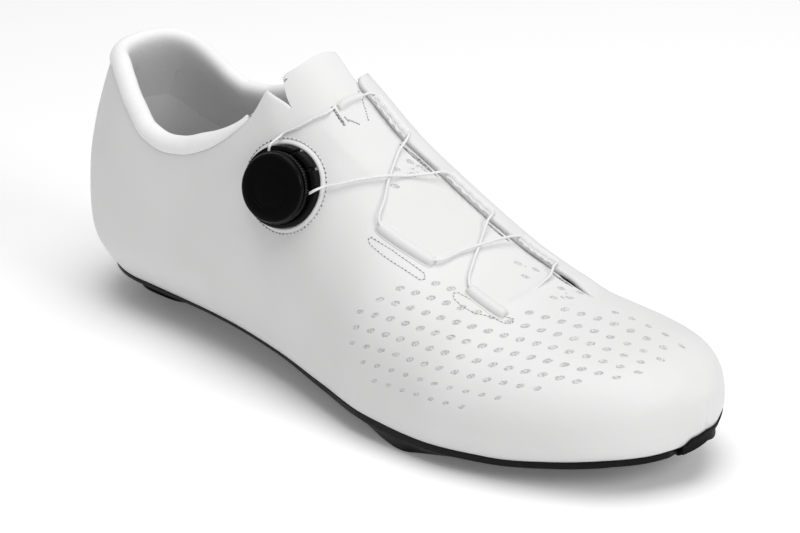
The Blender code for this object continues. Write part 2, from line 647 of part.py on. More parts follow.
def make_toe_pad(collection):
    """The rubber round the toe: a lip outside the plate's edge with a foot under it, and a low bumper that
    stands up against the upper, carried round the outline."""
    medial_turns = toe_stations()
    first = to_turn(TOE_PAD_START)
    lateral_turns = first + (LAST_TURN - first) * np.linspace(0, 1, 5)
    lateral, _ = sole_outline(lateral_turns, 0.0)
    _, medial = sole_outline(medial_turns, 0.0)
    lateral_out, _ = sole_outline(lateral_turns, -1.0)
    _, medial_out = sole_outline(medial_turns, -1.0)
    tip = np.array([[LENGTH, (lateral[-1, 1] + medial[-1, 1]) / 2]])
    path = np.concatenate([lateral[:, :2], tip, medial[::-1, :2]])
    outward = np.concatenate([(lateral_out - lateral)[:, :2], [[1.0, 0.0]], (medial_out - medial)[::-1, :2]])
    # The bumper's upper edge on the upper, by the ribs' places and the place across them
    along = np.concatenate([lateral_turns, [1 - 1e-4], medial_turns[::-1]])
    medial_place = to_place(medial_turns[::-1])
    medial_rise = BUMPER_RISE + (BUMPER_MEDIAL - BUMPER_RISE) * (1 - ease(medial_place, 0.975, 0.995))
    rise = np.concatenate([BUMPER_RISE * ease(to_place(lateral_turns), TOE_PAD_START, 0.9965), [BUMPER_RISE],
                           medial_rise * ease(medial_place, TOE_PAD_MEDIAL, 0.966)])
    is_lateral = np.arange(len(along)) <= len(lateral_turns)
    # Each row is the way outwards, the level that its height is taken from and the rise over it
    profile = [(PAD_PROUD, "edge", 0.0), (PAD_PROUD * PAD_SWELL, "edge", -PAD_DROP),
               (-0.0012, "foot", 0.0005), (-0.0028, "foot", 0.0), (-PAD_REACH, "foot", 0.0004),
               (-PAD_REACH, "plate", 0.0), (-PAD_LIP, "plate", 0.0), (-PAD_LIP, "edge", 0.0),
               (GAP, "edge", 0.0), (GAP, "bumper", 0.5), (GAP, "bumper", 1.0), (PAD_PROUD, "bumper", 1.0),
               (PAD_PROUD * PAD_SWELL, "bumper", 0.5)]
    rings = []
    for out, level, height in profile:
        if level == "bumper":
            across = np.where(is_lateral, rise * height, 4 - rise * height)
            normal = last_normals(along, across)
            normal[len(lateral_turns)] = (1, 0, 0)
            rings.append(last_points(along, across) + normal * out)
            continue
        spot = path + outward * out
        edge = edge_height(np.minimum(spot[:, 0], path[:, 0])) - GAP
        under = plate_bottom(np.minimum(spot[:, 0], LENGTH)) - GAP
        foot = np.minimum(edge - PAD_DROP - PAD_FOOT, under - PAD_THICKNESS)
        base = {"edge": edge, "plate": under, "foot": foot}[level]
        rings.append(np.column_stack([spot, base + height]))
    return ring_part("toe_pad", np.array(rings).transpose(1, 0, 2), RUBBER, collection)


def make_insole(collection):
    """The insole: a thin sheet on the plate, inside the upper's lower edge."""
    heel = -np.cos(np.linspace(0.25, pi / 2, 8))[:-1]
    front = to_turn(np.append(np.linspace(HEEL_X, 0.93, 16), [0.955, 0.975, 0.99]))
    along = np.concatenate([heel, front])
    lateral, medial = sole_outline(along, WALL + INSOLE_MARGIN)
    spread = np.linspace(0, 1, 5)[:, None]
    bottom = lateral[:, None] + (medial - lateral)[:, None] * spread
    top = bottom + np.array([0, 0, INSOLE_THICKNESS])
    return slab_part("insole", top, bottom, LINING, collection)


def tube_curve(name, points, diameter, resolution, radii=None):
    """A curve object with a round bevel and filled ends through points."""
    curve = bpy.data.curves.new(name, "CURVE")
    curve.dimensions = "3D"
    curve.bevel_depth = diameter / 2
    curve.bevel_resolution = resolution
    curve.use_fill_caps = True
    spline = curve.splines.new("POLY")
    spline.points.add(len(points) - 1)
    for index, (spot, point) in enumerate(zip(spline.points, points)):
        spot.co = (*point, 1)
        spot.radius = 1 if radii is None else radii[index]
    return bpy.data.objects.new(name, curve)


def make_collar_padding(collection):
    """The padded roll: it stands on the upper's rim, round the heel from one side of the throat to the
    other."""
    along = stations()
    place = station_x(along)
    runs = []
    for column, side, end in ((0, -1, ROLL_END_LATERAL), (1, 1, ROLL_END_MEDIAL)):
        here = along[place < end]
        rim = smooth_table(RIM, station_x(here))[:, column] * COLLAR_HEIGHT
        across = across_at_height(here, rim, side)
        edge = last_points(here, across)
        out = last_normals(here, across)
        up = np.cross(np.gradient(edge, axis=0), out) * side
        up /= np.linalg.norm(up, axis=1)[:, None]
        runs.append(edge + up * (ROLL_DIAMETER / 2 + GAP) - out * (WALL * 0.8))
    path = np.concatenate([runs[0][::-1], runs[1][1:]])
    taper = ease(np.minimum(np.arange(len(path)), len(path) - 1 - np.arange(len(path))), -1.5, 3)
    roll = tube_curve("collar_padding", path, ROLL_DIAMETER, 2, taper)
    return link(roll, collection, LINING)


def unit(vector):
    """The vector at length one."""
    return vector / np.linalg.norm(vector)


def dial_frame():
    """The dial's seat on the surface, its axis and two directions across it."""
    seat = last_points(to_turn(DIAL_PLACE), DIAL_ACROSS)
    axis = np.array([sin(DIAL_TOEWARD) * cos(DIAL_UPWARD), -cos(DIAL_TOEWARD) * cos(DIAL_UPWARD),
                     sin(DIAL_UPWARD)])
    first = unit(np.cross([0, 0, 1], axis))
    return seat, axis, first, np.cross(axis, first)


def make_dial(tree, collection):
    """The lace dial: a base whose foot follows the upper, and the knob on it. The base's top is a flat disc
    that stands clear of the surface all round."""
    seat, axis, first, second = dial_frame()
    around = np.linspace(0, 2 * pi, 32, endpoint=False)
    spokes = np.cos(around)[:, None] * first + np.sin(around)[:, None] * second
    radius = BASE_DIAMETER / 2
    rings = []
    for share in (0.04, 0.5, 1.0):
        starts = seat + spokes * radius * share + axis * 0.03
        hits = [tree.ray_cast(Vector(start), Vector(-axis))[0] for start in starts]
        rings.append(np.array(hits) + axis * GAP * 1.5)
    top = np.max((rings[-1] - seat) @ axis) + BASE_EDGE
    rings.append(seat + spokes * radius + axis * (top - BASE_BEVEL))
    rings.append(seat + spokes * (radius - BASE_BEVEL) + axis * top)
    ring_part("dial_base", rings, DIAL_PLASTIC, collection)

    knob = []
    low, high = top + GAP, top + GAP + KNOB_HEIGHT
    for inset, height in ((0.0, low), (0.0, high - KNOB_BEVEL), (KNOB_BEVEL, high)):
        knob.append(seat + spokes * (KNOB_DIAMETER / 2 - inset) + axis * height)
    ring_part("dial_knob", knob, DIAL_PLASTIC, collection)


def curve_through(points, count):
    """A smooth curve through points, with count points at even steps of its parameter."""
    points = np.asarray(points, float)
    place = np.concatenate([[0], np.cumsum(np.linalg.norm(np.diff(points, axis=0), axis=1))])
    return smooth_table(np.column_stack([place, points]), np.linspace(0, place[-1], count))


def make_ridge(name, tree, ends, width, height, hem, material, collection):
    """A guide: a low rounded ridge along the surface with a hem on both sides. Its underside follows the
    upper."""
    start, end = (last_points(to_turn(place), across) for place, across in ends)
    count, columns = 5, 7
    path = start + (end - start) * np.linspace(0, 1, count)[:, None]
    sideways = np.linspace(-1, 1, columns)
    top, bottom = np.zeros((count, columns, 3)), np.zeros((count, columns, 3))
    direction = unit(end - start)
    for i, point in enumerate(path):
        _, normal, _, _ = tree.find_nearest(Vector(point))
        across = unit(np.cross(np.array(normal), direction))
        narrow = 1 - 0.25 * abs(2 * i / (count - 1) - 1) ** 6
        for j, s in enumerate(sideways):
            spot, face_normal, _, _ = tree.find_nearest(Vector(point + across * s * narrow * width / 2))
            rise = hem + (height - hem) * max(0.0, 1 - (s / 0.72) ** 2) ** 0.7
            bottom[i, j] = np.array(spot) + np.array(face_normal) * GAP
            top[i, j] = np.array(spot) + np.array(face_normal) * (GAP + rise)
    return slab_part(name, top, bottom, material, collection)


def make_guides(flap_tree, medial_tree, collection):
    """The lace's guides on the flap and the textile tubes along the medial edge."""
    for name, ends, wide, high in GUIDES:
        width, height = wide * GUIDE_WIDTH, high * GUIDE_HEIGHT
        make_ridge(name, flap_tree, ends, width, height, GUIDE_HEM, SYNTHETIC, collection)
    for name, start, end in TUBES:
        edges = throat_edge(to_turn(np.array([start, end])))[0] + TUBE_SHIFT
        ends = ((start, edges[0]), (end, edges[1]))
        make_ridge(name, medial_tree, ends, TUBE_WIDTH, TUBE_HEIGHT, GUIDE_HEM, LACE_CORD, collection)


def lace_path(rows):
    """A smooth run over the form through rows of place, place across the rib and height over the form."""
    rows = np.array(rows)
    along = to_turn(rows[:, 0])
    points = last_points(along, rows[:, 1]) + last_normals(along, rows[:, 1]) * rows[:, 2:]
    length = np.linalg.norm(np.diff(points, axis=0), axis=1).sum()
    return curve_through(points, max(3, int(length / (2.6 * LACE_DIAMETER))))


def lace_tube(name, points, collection):
    """A run of the lace as a closed tube, made a mesh so that runs that cross can be joined."""
    tube = tube_curve(name + "_curve", points, LACE_DIAMETER, 2)
    collection.objects.link(tube)
    bpy.context.view_layer.update()
    mesh = bpy.data.meshes.new_from_object(tube.evaluated_get(bpy.context.evaluated_depsgraph_get()))
    bpy.data.objects.remove(tube)
    shape = bmesh.new()
    shape.from_mesh(mesh)
    bmesh.ops.remove_doubles(shape, verts=shape.verts, dist=1e-6)
    bmesh.ops.recalc_face_normals(shape, faces=shape.faces)
    shape.to_mesh(mesh)
    shape.free()
    mesh.materials.clear()
    return bpy.data.objects.new(name, mesh)


def make_lace(collection, cutters):
    """The lace's open runs between the dial, the guides and the tubes. Two runs that cross are joined
    there."""
    for name, runs in LACE_RUNS.items():
        tubes = [lace_tube(f"{name}_{k}", lace_path(rows), collection) for k, rows in enumerate(runs)]
        first, *others = tubes
        first.name = name
        link(first, collection, LACE_CORD)
        for other in others:
            keep_as_cutter(other, cutters)
            join = first.modifiers.new("crossing", "BOOLEAN")
            join.operation = "UNION"
            join.object = other


def main():
    for leftover in list(bpy.data.objects):
        bpy.data.objects.remove(leftover)
    shoe = bpy.data.collections.new("cycling_shoe")
    cutters = bpy.data.collections.new("cutters")
    bpy.context.scene.collection.children.link(shoe)
    bpy.context.scene.collection.children.link(cutters)
    make_outsole(shoe, cutters)
    make_heel_pad(shoe)
    make_toe_pad(shoe)
    _, flap_tree, medial_tree = make_upper(shoe)
    make_insole(shoe)
    make_collar_padding(shoe)
    make_dial(flap_tree, shoe)
    make_guides(flap_tree, medial_tree, shoe)
    make_lace(shoe, cutters)
    move = Matrix.Translation((-MIDDLE, 0, 0))
    for part in bpy.data.objects:
        part.data.transform(move)


main()
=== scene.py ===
"""The looks of a white road cycling shoe for the right foot: its upper, sole, collar, lace dial and lace.

The form is worked out as in the part's own source, with the back of the heel at x = 0, and is then moved to
where the frame's upper stands. All lengths are in metres.
"""
from math import cos, pi, radians, sin

import bmesh
import bpy
import numpy as np
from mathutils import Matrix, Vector


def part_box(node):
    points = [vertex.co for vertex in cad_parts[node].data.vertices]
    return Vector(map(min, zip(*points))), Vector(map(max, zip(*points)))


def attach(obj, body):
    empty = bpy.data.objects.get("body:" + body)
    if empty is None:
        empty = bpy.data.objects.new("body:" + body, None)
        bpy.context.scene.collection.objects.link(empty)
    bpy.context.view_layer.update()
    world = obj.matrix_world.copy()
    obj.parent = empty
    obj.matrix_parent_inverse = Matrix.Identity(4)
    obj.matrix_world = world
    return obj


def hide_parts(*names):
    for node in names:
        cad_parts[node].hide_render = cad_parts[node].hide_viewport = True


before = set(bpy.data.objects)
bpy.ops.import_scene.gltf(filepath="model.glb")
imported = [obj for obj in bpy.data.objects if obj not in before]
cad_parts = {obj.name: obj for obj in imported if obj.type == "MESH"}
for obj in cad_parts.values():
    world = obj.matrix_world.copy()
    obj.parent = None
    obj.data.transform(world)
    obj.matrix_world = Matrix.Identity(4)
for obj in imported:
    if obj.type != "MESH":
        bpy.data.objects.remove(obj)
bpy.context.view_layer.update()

# Driving sizes of the form, the same as the part's
LENGTH = 0.286
BALL_WIDTH = 0.096
HEEL_WIDTH = 0.071
INSTEP_HEIGHT = 0.095
COLLAR_HEIGHT = 0.105
SOLE_LIFT = 0.0145
TOE_SPRING = 0.008
HEEL_ROUND = 2.15
WALL = 0.0018
GAP = 0.0003

SECTIONS = np.array([
    # place low_l   low_m   wide_l  wide_m  shift   z_l    z_m    crest  lift   spring round_l round_m
    [0.138, 0.387, 0.373, 0.528, 0.472, 0.021, 0.343, 0.362, 1.180, 1.000, 0.00, 2.10, 2.10],
    [0.227, 0.408, 0.366, 0.528, 0.465, 0.023, 0.362, 0.400, 1.250, 1.055, 0.00, 2.10, 2.10],
    [0.326, 0.425, 0.325, 0.505, 0.429, 0.035, 0.371, 0.425, 1.309, 1.100, 0.00, 2.00, 2.00],
    [0.426, 0.430, 0.274, 0.469, 0.382, 0.048, 0.363, 0.441, 1.219, 1.050, 0.00, 1.95, 2.00],
    [0.525, 0.454, 0.285, 0.467, 0.393, 0.066, 0.326, 0.400, 1.000, 0.900, 0.00, 2.00, 2.05],
    [0.613, 0.482, 0.365, 0.498, 0.451, 0.086, 0.274, 0.344, 0.798, 0.745, 0.00, 2.05, 2.10],
    [0.703, 0.472, 0.432, 0.503, 0.492, 0.100, 0.247, 0.281, 0.632, 0.641, 0.00, 2.10, 2.15],
    [0.793, 0.410, 0.458, 0.458, 0.504, 0.122, 0.232, 0.256, 0.546, 0.645, 0.06, 2.20, 2.30],
    [0.871, 0.312, 0.438, 0.369, 0.490, 0.143, 0.232, 0.253, 0.518, 0.648, 0.32, 2.30, 2.50],
    [0.931, 0.203, 0.375, 0.260, 0.443, 0.156, 0.237, 0.253, 0.495, 0.648, 0.61, 2.40, 2.60],
    [0.970, 0.094, 0.297, 0.135, 0.365, 0.158, 0.247, 0.253, 0.453, 0.648, 0.82, 2.40, 2.60],
    [0.990, -0.013, 0.219, 0.005, 0.281, 0.148, 0.253, 0.250, 0.396, 0.648, 1.00, 2.30, 2.40],
    [1.000, -0.128, 0.128, -0.128, 0.128, 0.128, 0.253, 0.253, 0.332, 0.648, 1.30, 2.00, 2.00],
])

# Height and depth of the heel's back, as in the part
HEEL_CURVE = np.array([
    [0.14, 0.800], [0.20, 0.875], [0.30, 0.967], [0.42, 1.000], [0.55, 0.990], [0.70, 0.925],
    [0.85, 0.830], [1.00, 0.730], [1.20, 0.620],
])

# The collar's edge: place, lateral and medial height as shares of the collar's height
RIM = np.array([
    [0.000, 0.950, 0.950], [0.045, 0.955, 0.955], [0.070, 0.957, 0.940], [0.096, 0.930, 0.885],
    [0.137, 0.845, 0.800], [0.170, 0.779, 0.770], [0.210, 0.757, 0.778], [0.245, 0.770, 0.808],
    [0.290, 0.820, 0.860], [0.330, 0.900, 0.912], [0.358, 0.991, 0.950], [0.368, 1.070, 0.964],
    [0.400, 1.200, 1.008], [0.415, 1.250, 1.026], [0.430, 1.300, 1.060], [0.444, 1.350, 1.100],
])

# The throat: place, the medial edge's place across the rib, and how far the flap reaches beyond it
THROAT = np.array([
    [0.380, 1.955, 0.085], [0.405, 1.956, 0.082], [0.442, 1.966, 0.024], [0.480, 1.986, 0.060],
    [0.520, 1.992, 0.100], [0.574, 2.050, 0.100], [0.639, 2.100, 0.100], [0.674, 2.140, 0.100],
    [0.715, 2.165, 0.100], [0.750, 2.163, -0.012], [0.790, 2.140, -0.012], [0.800, 2.133, 0.000],
    [1.000, 2.000, 0.000],
])

# The tab's upper edge: place across the rib and place along the length
TAB_TOP = np.array([
    [1.69, 0.3770], [1.72, 0.3805], [1.80, 0.3895], [1.96, 0.3985], [2.05, 0.4035],
])

HEEL_X = SECTIONS[0, 0]
PEAK_PLACE = 0.368
NOTCH_PLACE = 0.406
CORNER_PLACE = 0.444
LIFTED_PLACE = 0.755
SLIT_END = 0.800
LAST_TURN = 0.985
SKIN_END = 0.998
PEAK_ACROSS = 1.608
FLAP_ACROSS = 1.63
TAB_ACROSS = 1.69
TAB_CURVE = 1.8
# The roundings of the tab's and the medial edge's corners: across the rib and along the length
TAB_ROUND = (0.030, 0.0022)
MEDIAL_ROUND = (0.045, 0.016)
PEAK_FLARE = 0.0022
HEEL_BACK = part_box("upper")[0][0]


def smooth_table(table, at):
    """A monotone cubic curve through a table's rows, whose first column is the place."""
    places, values = table[:, 0], table[:, 1:]
    steps = np.diff(places)[:, None]
    slopes = np.diff(values, axis=0) / steps
    before, after = slopes[:-1], slopes[1:]
    weight_before = steps[:-1] + 2 * steps[1:]
    weight_after = 2 * steps[:-1] + steps[1:]
    turning = before * after <= 0
    safe_before = np.where(turning, 1, before)
    safe_after = np.where(turning, 1, after)
    inner = (weight_before + weight_after) / (weight_before / safe_before + weight_after / safe_after)
    tangents = np.vstack([slopes[:1], np.where(turning, 0, inner), slopes[-1:]])
    at = np.clip(at, places[0], places[-1])
    cell = np.clip(np.searchsorted(places, at, side="right") - 1, 0, len(places) - 2)
    step = steps[cell]
    t = (at - places[cell])[:, None] / step
    start = (1 + 2 * t) * (1 - t) ** 2 * values[cell] + t * (1 - t) ** 2 * step * tangents[cell]
    end = t ** 2 * (3 - 2 * t) * values[cell + 1] + t ** 2 * (t - 1) * step * tangents[cell + 1]
    return start + end


def ease(value, low, high):
    """0 below low, 1 above high, and a smooth rise between."""
    t = np.clip((value - low) / (high - low), 0, 1)
    return t * t * (3 - 2 * t)


def to_turn(place):
    """A place along the length as a turn from 0 at the heel's section to 1 at the toe."""
    return np.arcsin(np.clip((np.asarray(place, float) - HEEL_X) / (1 - HEEL_X), 0, 1)) / (pi / 2)


def to_place(turn):
    """The place along the length of a turn."""
    return HEEL_X + (1 - HEEL_X) * np.sin(np.clip(turn, 0, 1) * pi / 2)


def section_values(place):
    """The table's columns at places along the length, in metres where they are lengths."""
    table = SECTIONS.copy()
    table[:, 0] = to_turn(SECTIONS[:, 0])
    values = smooth_table(table, to_turn(place))
    width = HEEL_WIDTH + (BALL_WIDTH - HEEL_WIDTH) * ease(place, 0.227, 0.613)
    height = COLLAR_HEIGHT + (INSTEP_HEIGHT - COLLAR_HEIGHT) * ease(place, 0.25, 0.50)
    values[:, 0:5] *= width[:, None]
    values[:, 5:8] *= height[:, None]
    values[:, 8] = values[:, 8] * SOLE_LIFT + values[:, 9] * TOE_SPRING
    return values


def side_values(values, side, back):
    """The columns of one side. Towards the back of the heel both sides come to the same heights."""
    here, there = (0, 1) if side < 0 else (1, 0)
    low, wide = values[:, here], values[:, 2 + here]
    z_wide = values[:, 5 + here] * (1 - back / 2) + values[:, 5 + there] * back / 2
    rounding = values[:, 10 + here] * (1 - back / 2) + values[:, 10 + there] * back / 2
    return low, wide, z_wide, rounding


def form_points(along, across):
    """Points of the last's outer form. along runs from -1 at the back of the heel over 0 at the first section
    to 1 at the toe; across is 0 at the lateral lower edge, 2 at the crest and 4 at the medial lower edge.
    Below its widest place a rib bulges as a sine does, and above it is a quarter of a superellipse."""
    along, across = np.broadcast_arrays(np.asarray(along, float), np.asarray(across, float))
    shape = along.shape
    along, across = along.ravel(), across.ravel()
    place = to_place(along)
    turn = np.clip(-along, 0, 1)
    values = section_values(place)
    shift, crest, z_low = values[:, 4], values[:, 7], values[:, 8]
    halves = []
    for side, rise in ((-1, across), (1, 4 - across)):
        low, wide, z_wide, rounding = side_values(values, side, turn)
        below = np.clip(rise, 0, 1)
        above = np.clip(rise - 1, 0, 1) * pi / 2
        power = 2 / rounding
        y_below = side * (low + (wide - low) * np.sin(below * pi / 2))
        y_above = shift + (side * wide - shift) * np.abs(np.cos(above)) ** power
        y = np.where(rise < 1, y_below, y_above)
        z_below = z_low + (z_wide - z_low) * below
        z = np.where(rise < 1, z_below, z_wide + (crest - z_wide) * np.sin(above) ** power)
        halves.append((y, z))
    y = np.where(across <= 2, halves[0][0], halves[1][0])
    z = np.where(across <= 2, halves[0][1], halves[1][1])
    depth = smooth_table(HEEL_CURVE, z / COLLAR_HEIGHT)[:, 0] * HEEL_X * LENGTH
    power = 2 / HEEL_ROUND
    x = place * LENGTH - depth * np.sin(turn * pi / 2) ** power
    y = y * np.abs(np.cos(turn * pi / 2)) ** power
    return np.stack([x + HEEL_BACK, y, z], -1).reshape(shape + (3,))


def form_differences(along, across, step):
    """How far the form's points move between a step before and a step after, for each of its two
    parameters."""
    return (form_points(along + step, across) - form_points(along - step, across),
            form_points(along, across + step) - form_points(along, across - step))


def form_normals(along, across):
    """Outward normals of the form, square to the differences of its two parameters."""
    step = 2e-3
    return unit(np.cross(*form_differences(np.clip(along, -1 + step, 1 - step), across, step)))


def raised(along, across, height):
    """Points of the form moved out along its normals by a height."""
    return form_points(along, across) + form_normals(along, across) * np.asarray(height)[..., None]


def across_at_height(along, height, side):
    """The place across a rib where it has a height, on one side, above its widest place."""
    turn = np.clip(-along, 0, 1)
    values = section_values(to_place(along))
    _, _, z_wide, rounding = side_values(values, side, turn)
    share = np.clip((height - z_wide) / (values[:, 7] - z_wide), 0, 1)
    rise = 1 + np.arcsin(share ** (rounding / 2)) / (pi / 2)
    return rise if side < 0 else 4 - rise


def station_x(along):
    """A station's place at the collar's height, as a share of the length."""
    depth = smooth_table(HEEL_CURVE, np.full(len(along), 0.9))[:, 0] * HEEL_X
    return to_place(along) - depth * np.sin(np.clip(-along, 0, 1) * pi / 2) ** (2 / HEEL_ROUND)


def throat_edge(place):
    """Where the medial throat edge lies across the ribs, and how far the flap reaches beyond it."""
    values = smooth_table(THROAT, np.asarray(place, float).ravel())
    return values[:, 0].reshape(np.shape(place)), values[:, 1].reshape(np.shape(place))


def walk(along, across, direction, distance, steps=4):
    """Parameters of the points reached by going over the form from given ones, a distance in a direction.
    Each step solves the two slopes of the form for the step's length by least squares."""
    along, across = np.broadcast_arrays(np.asarray(along, float), np.asarray(across, float))
    along, across = along.copy(), across.copy()
    step = 1e-3
    stride = np.asarray(direction) * (np.broadcast_to(distance, along.shape) / steps)[..., None]
    for _ in range(steps):
        here = np.clip(along, -1 + step, 1 - step)
        slope_1, slope_2 = (difference / (2 * step) for difference in form_differences(here, across, step))
        a, b, c = (slope_1 ** 2).sum(-1), (slope_1 * slope_2).sum(-1), (slope_2 ** 2).sum(-1)
        p, q = (slope_1 * stride).sum(-1), (slope_2 * stride).sum(-1)
        whole = np.maximum(a * c - b * b, 1e-16)
        along += (p * c - q * b) / whole
        across += (q * a - p * b) / whole
    return along, across


def drop(points, axis, place, across):
    """Parameters of the form's points that lie under given points, looking down an axis. Newton's steps move
    the two parameters and the depth until the form's point lies on the line through the given one."""
    along = np.full(len(points), float(to_turn(place)))
    across = np.full(len(points), float(across))
    step = 1e-3
    for _ in range(10):
        here = form_points(along, across)
        slope_1, slope_2 = (difference / (2 * step) for difference in form_differences(along, across, step))
        matrix = np.stack([slope_1, slope_2, np.broadcast_to(axis, here.shape)], -1)
        move = np.linalg.solve(matrix, (points - here)[..., None])[..., 0]
        along += move[:, 0]
        across += move[:, 1]
    return along, across


def unit(vector):
    """Vectors at length one."""
    return vector / np.maximum(np.linalg.norm(vector, axis=-1, keepdims=True), 1e-12)


def run_lengths(points):
    """The length of a curve from its first point to each of its points."""
    return np.concatenate([[0], np.cumsum(np.linalg.norm(np.diff(points, axis=0), axis=1))])


def in_columns(values, count):
    """Values for the rows of a grid, repeated in each of its columns."""
    return np.repeat(values[:, None], count, axis=1)


def curve_through(points, count):
    """A smooth curve through points, with count points at even steps of its length."""
    points = np.asarray(points, float)
    length = run_lengths(points)
    fine = smooth_table(np.column_stack([length, points]), np.linspace(0, length[-1], 8 * count))
    reached = run_lengths(fine)
    even = np.linspace(0, reached[-1], count)
    return np.stack([np.interp(even, reached, fine[:, k]) for k in range(points.shape[1])], 1)


# Meshes

def grid_faces(rows, columns, first=0, ring_rows=False, ring_columns=False):
    """The faces of a grid of points, which face the way of rows crossed with columns. A ring joins its
    ends."""
    k = np.arange(rows * columns).reshape(rows, columns) + first
    if ring_rows:
        k = np.concatenate([k, k[:1]])
    if ring_columns:
        k = np.concatenate([k, k[:, :1]], axis=1)
    return np.stack([k[:-1, :-1], k[1:, :-1], k[1:, 1:], k[:-1, 1:]], -1).reshape(-1, 4)


def add_piece(name, points, faces, finish, attributes=None, crease=50, outward=False):
    """A piece from points and faces: equal points are merged and the shading is smooth up to a crease
    angle."""
    mesh = bpy.data.meshes.new(name)
    faces = [face for block in faces for face in np.asarray(block).tolist()]
    mesh.from_pydata(np.asarray(points, float).reshape(-1, 3).tolist(), [], faces)
    for layer, values in (attributes or {}).items():
        store = mesh.attributes.new(layer, "FLOAT_VECTOR", "POINT")
        store.data.foreach_set("vector", np.asarray(values, np.float32).ravel())
    shape = bmesh.new()
    shape.from_mesh(mesh)
    bmesh.ops.remove_doubles(shape, verts=shape.verts, dist=2e-6)
    bmesh.ops.dissolve_degenerate(shape, edges=shape.edges, dist=1e-7)
    if outward:
        bmesh.ops.recalc_face_normals(shape, faces=shape.faces)
    shape.to_mesh(mesh)
    shape.free()
    mesh.materials.append(finish)
    mesh.shade_smooth()
    mesh.set_sharp_from_angle(angle=radians(crease))
    piece = bpy.data.objects.new(name, mesh)
    bpy.context.scene.collection.objects.link(piece)
    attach(piece, "root")
    return piece


def end_fans(points):
    """A closed tube of rings: its points with a middle for each end, and its faces."""
    rows, columns = points.shape[:2]
    k = np.arange(rows * columns).reshape(rows, columns)
    faces = [grid_faces(rows, columns, ring_columns=True)]
    for row, tip in ((k[0], rows * columns), (k[-1], rows * columns + 1)):
        faces.append(np.stack([row, np.roll(row, -1), np.full(columns, tip)], -1))
    return np.vstack([points.reshape(-1, 3), points[[0, -1]].mean(axis=1)]), faces


def tube_grid(path, radius, sides):
    """A round tube along a path: at each point a circle square to the path, of its radius there."""
    tangent = unit(np.gradient(path, axis=0))
    side = unit(np.cross(tangent, [0, 0, 1]))
    over = np.cross(side, tangent)
    around = np.linspace(0, 2 * pi, sides, endpoint=False)
    circle = np.cos(around)[:, None] * side[:, None] + np.sin(around)[:, None] * over[:, None]
    return path[:, None] + circle * radius[:, None, None]


# Materials

class Socket:
    """An output of a material's node. Arithmetic on it adds Math nodes."""

    def __init__(self, finish, output):
        self.finish, self.output = finish, output

    def math(self, operation, *values):
        return self.finish.node("ShaderNodeMath", {"operation": operation}, dict(enumerate(values)))

    def __add__(self, other):
        return self.math("ADD", self, other)

    def __radd__(self, other):
        return self.math("ADD", other, self)

    def __sub__(self, other):
        return self.math("SUBTRACT", self, other)

    def __rsub__(self, other):
        return self.math("SUBTRACT", other, self)

    def __mul__(self, other):
        return self.math("MULTIPLY", self, other)

    def __rmul__(self, other):
        return self.math("MULTIPLY", other, self)

    def __truediv__(self, other):
        return self.math("DIVIDE", self, other)

    def __pow__(self, other):
        return self.math("POWER", self, other)


class Finish:
    """A material on one Principled shader. What is the same all over is set on the shader's own sockets."""

    def __init__(self, name, **constants):
        self.material = bpy.data.materials.new(name)
        self.material.use_nodes = True
        self.tree = self.material.node_tree
        self.shader = self.tree.nodes["Principled BSDF"]
        sockets = {socket.name.lower(): socket for socket in self.shader.inputs}
        for key, value in constants.items():
            sockets[key.replace("_", " ")].default_value = value

    def node(self, kind, settings=None, sockets=None, output=0):
        """A node of a kind, with its settings, its sockets' values or links, and the output that is used."""
        node = self.tree.nodes.new(kind)
        for key, value in (settings or {}).items():
            setattr(node, key, value)
        for key, value in (sockets or {}).items():
            if isinstance(value, Socket):
                self.tree.links.new(value.output, node.inputs[key])
            else:
                node.inputs[key].default_value = value
        return Socket(self, node.outputs[output])

    def link(self, key, value):
        """Links a socket of the shader."""
        self.tree.links.new(value.output, self.shader.inputs[key])

    def place(self):
        """The place on the object, in metres."""
        return self.node("ShaderNodeTexCoord", output="Object")

    def attribute(self, name):
        """The three numbers of a piece's own attribute."""
        vector = self.node("ShaderNodeAttribute", {"attribute_name": name}, output="Vector")
        parts = self.node("ShaderNodeSeparateXYZ", {}, {0: vector})
        return [Socket(self, output) for output in parts.output.node.outputs]

    def noise(self, scale, detail=2.0):
        """Noise from 0 to 1 with a number of grains to the metre."""
        return self.node("ShaderNodeTexNoise", {}, {"Vector": self.place(), "Scale": scale, "Detail": detail})

    def rise(self, value, low, high):
        """0 below low and 1 above high, with a smooth rise between."""
        sockets = {0: value, 1: low, 2: high, 3: 0.0, 4: 1.0}
        return self.node("ShaderNodeMapRange", {"interpolation_type": "SMOOTHSTEP"}, sockets)

    def mix(self, share, first, second):
        """A mix of two colours by a share of the second."""
        sockets = {0: share, 6: first, 7: second}
        return self.node("ShaderNodeMix", {"data_type": "RGBA"}, sockets, output=2)

    def relief(self, height, distance, below=None):
        """A bump of a height in metres from a value between 0 and 1, on top of the one below it."""
        sockets = {"Strength": 1.0, "Distance": distance, "Height": height}
        if below is not None:
            sockets["Normal"] = below
        return self.node("ShaderNodeBump", {}, sockets)


def grey(tone, warmth=0.0):
    """A neutral colour of a tone, slightly warm or cool."""
    return (tone * (1 + warmth), tone, tone * (1 - warmth), 1.0)


